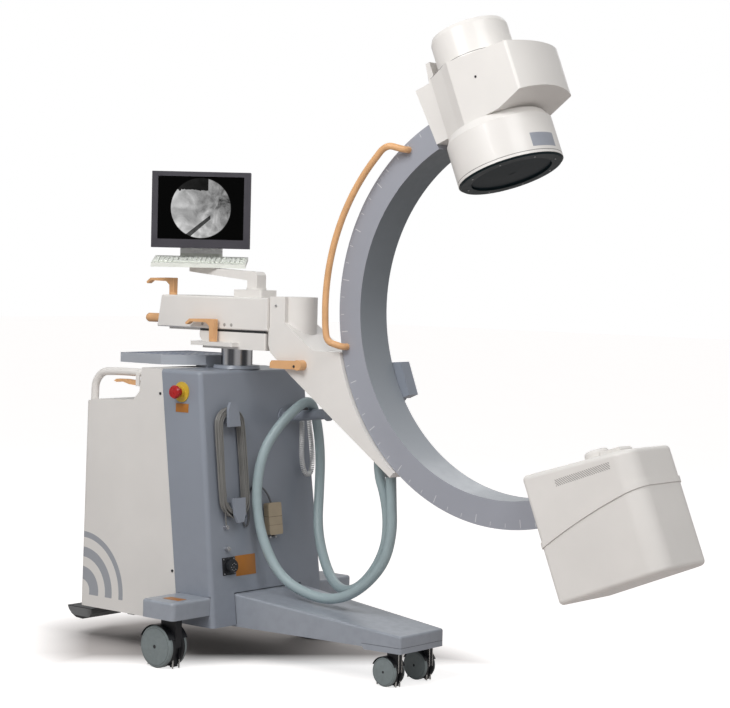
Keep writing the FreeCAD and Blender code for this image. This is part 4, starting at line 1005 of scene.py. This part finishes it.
class CARM_OT_castor_trim(bpy.types.Operator):
    """Hoods and toe guards on the twin wheels, and bright straps on the front castors"""
    bl_idname = "carm.castor_trim"
    bl_label = "Castor trim"

    def execute(self, context):
        black = moulded("Castor hood", colours().dark, 0.35)
        steel = metal("Castor strap", (0.74, 0.74, 0.72), 0.25)
        trail = 0.022
        for end, radius in WHEEL_RADII.items():
            for side in ("left", "right"):
                name = "%s_castor_%s" % (end, side)
                low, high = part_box(name + "_wheels")
                hub = (low + high) / 2
                half = (high.y - low.y) / 2
                gap = half * 0.33
                grid = bmesh.new()

                def on_hood(across, up):
                    angle = math.radians(90 + 66 * across)
                    out = radius * 1.018
                    return hub + Vector((out * math.cos(angle), (half - 0.002) * up, out * math.sin(angle)))

                sheet(grid, on_hood, 28, 2, 0.0011)
                guards = bmesh.new()
                for ahead in (-0.80, 0.80):
                    for across in (-gap, gap):
                        foot = hub + Vector((radius * ahead, across, -radius))
                        block(grid, aim(foot + Vector((0, 0, radius * 0.42)), (0, 0, 1), (0, 1, 0)),
                              0.005, 0.005, radius * 0.62, 0.0008)
                        block(guards, aim(foot + Vector((0, 0, 0.0015)), (0, 0, 1), (0, 1, 0)),
                              0.0038, 0.0038, radius * 0.42, 0.0008)
                add_piece(name + "_hood", name + "_swivel", black, grid)
                add_piece(name + "_guards", name + "_swivel", steel, guards)
                if end == "rear":
                    continue
                grid = bmesh.new()
                face = hub.x + trail + radius * 0.42 + 0.0004
                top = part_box("front_leg")[0].z - 0.004
                for shift in (-0.0072, 0.0072):
                    block(grid, aim((face, hub.y + shift, (top + radius) / 2), (1, 0, 0)),
                          0.0022, top - radius, 0.0016, 0.0004)
                block(grid, aim((face, hub.y, top - 0.001), (1, 0, 0)), 0.0166, 0.0026, 0.0018, 0.0004)
                add_piece(name + "_strap", name + "_swivel", steel, grid)
        return {"FINISHED"}


class CARM_OT_keyboard(bpy.types.Operator):
    """Key rows on the sloping keyboard"""
    bl_idname = "carm.keyboard"
    bl_label = "Keyboard keys"

    def execute(self, context):
        finish = moulded("Key caps", (0.79, 0.82, 0.76), 0.4)
        turn = Matrix.Translation(metres(-748, 0, 1172)) @ Matrix.Rotation(math.radians(39.5), 4, "Z")
        slope = math.atan2(24, 138)
        deck = turn @ Matrix.Translation((0, -0.009, 0.014)) @ Matrix.Rotation(slope, 4, "X")
        grid = bmesh.new()
        for row in range(5):
            for column in range(19):
                if column in (14, 18) and row in (1, 3):
                    continue
                x = -0.130 + column * 0.0143 + (0.004 if column > 13 else 0)
                y = -0.042 + row * 0.0165 + (0.005 if row == 4 else 0)
                width = 0.0125
                if row == 0 and 4 <= column <= 9:
                    if column != 6:
                        continue
                    x += 0.007
                    width = 0.084
                block(grid, deck @ Matrix.Translation((x, y, 0)), width, 0.0135, 0.0045, 0.0012, 1)
        add_piece("keyboard_keys", "keyboard_shelf", finish, grid)
        return {"FINISHED"}


class CARM_OT_stage(bpy.types.Operator):
    """Pale floor with a painted shadow under the unit, and soft studio light"""
    bl_idname = "carm.stage"
    bl_label = "Stage"

    def execute(self, context):
        scene = context.scene
        grid = bmesh.new()
        bmesh.ops.create_grid(grid, x_segments=1, y_segments=1, size=30)
        mesh = bpy.data.meshes.new("studio_floor")
        grid.to_mesh(mesh)
        grid.free()
        floor = bpy.data.objects.new("studio_floor", mesh)
        scene.collection.objects.link(floor)
        finish = Finish("Studio floor", roughness=0.9, specular_ior_level=0.1)
        patch = finish.noise(2, 2)
        finish.set("Base Color", finish.mix(patch, (0.56, 0.525, 0.51), (0.59, 0.555, 0.54)))
        x, y, z = finish.split()
        # painted shadow: the camera-only glow that whitens the floor is held back inside a zone drawn under
        # the unit, so the floor's own warm grey shows there as a shadow of that shape
        lit = 0.74
        near = finish.ramp(x * 0.724 - y * 0.69 + 0.282, 0.0, lit, -0.03, 0.15)
        beside = finish.ramp(x * 0.69 + y * 0.724, lit, 0.0, -1.02, -0.80)
        x = x + 0.45
        shadow_round_edge = finish.ramp((x * x * 0.5 + y * y).root(), 0.0, lit, 0.42, 0.62)
        glow_round_painted_shadow = near.most(beside).most(shadow_round_edge) * finish.add("ShaderNodeLightPath", {}, ())
        tone = finish.add("ShaderNodeCombineXYZ", {}, (glow_round_painted_shadow, glow_round_painted_shadow, glow_round_painted_shadow))
        finish.set("Emission Color", tone)
        finish.set("Emission Strength", 1.0)
        mesh.materials.append(finish.material)
        world = bpy.data.worlds.new("Studio")
        scene.world = world
        world.use_nodes = True
        tree = world.node_tree
        backing = tree.nodes["Background"]
        backing.inputs["Color"].default_value = (1, 1, 1, 1)
        path = tree.nodes.new("ShaderNodeLightPath")
        level = tree.nodes.new("ShaderNodeMapRange")
        level.inputs["To Min"].default_value = 0.44
        level.inputs["To Max"].default_value = 1.0
        tree.links.new(path.outputs["Is Camera Ray"], level.inputs["Value"])
        tree.links.new(level.outputs[0], backing.inputs["Strength"])
        lamps = (("key", (0.0, -2.8, 3.1), 1.5, 66), ("fill", (2.9, -1.3, 3.8), 1.8, 44),
                 ("back", (-2.0, 3.8, 3.8), 3.0, 30))
        for name, place, width, power in lamps:
            data = bpy.data.lights.new(name, "AREA")
            data.size = width
            data.energy = power
            lamp = bpy.data.objects.new(name, data)
            lamp.location = place
            lamp.rotation_mode = "QUATERNION"
            aim_at = Vector((0.2, 0, 0.8)) - Vector(place)
            lamp.rotation_quaternion = aim_at.to_track_quat("-Z", "Y")
            scene.collection.objects.link(lamp)
        scene.view_settings.view_transform = "Standard"
        return {"FINISHED"}


OPERATORS = (
    CARM_OT_camera, CARM_OT_hose, CARM_OT_hand_switch_cords, CARM_OT_lead_hank,
    CARM_OT_paint_covers, CARM_OT_paint_parts, CARM_OT_small_hardware, CARM_OT_castor_trim,
    CARM_OT_keyboard, CARM_OT_stage)


class CARM_PT_panel(bpy.types.Panel):
    """Lists the dressing steps"""
    bl_idname = "CARM_PT_panel"
    bl_label = "C-arm dressing"
    bl_space_type = "VIEW_3D"
    bl_region_type = "UI"
    bl_category = "C-arm"

    def draw(self, context):
        for group in (sizes(), colours()):
            for name in group.__annotations__:
                self.layout.prop(group, name)
        for operator in OPERATORS:
            self.layout.operator(operator.bl_idname)


CLASSES = (CArmSizes, CArmColours, *OPERATORS, CARM_PT_panel)


def register():
    for entry in CLASSES:
        bpy.utils.register_class(entry)
    bpy.types.Scene.c_arm_sizes = bpy.props.PointerProperty(type=CArmSizes)
    bpy.types.Scene.c_arm_colours = bpy.props.PointerProperty(type=CArmColours)


def unregister():
    del bpy.types.Scene.c_arm_colours
    del bpy.types.Scene.c_arm_sizes
    for entry in reversed(CLASSES):
        bpy.utils.unregister_class(entry)


def main():
    register()
    for operator in OPERATORS:
        name = operator.bl_idname.split(".")[1]
        getattr(bpy.ops.carm, name)()


if __name__ == "__main__":
    main()
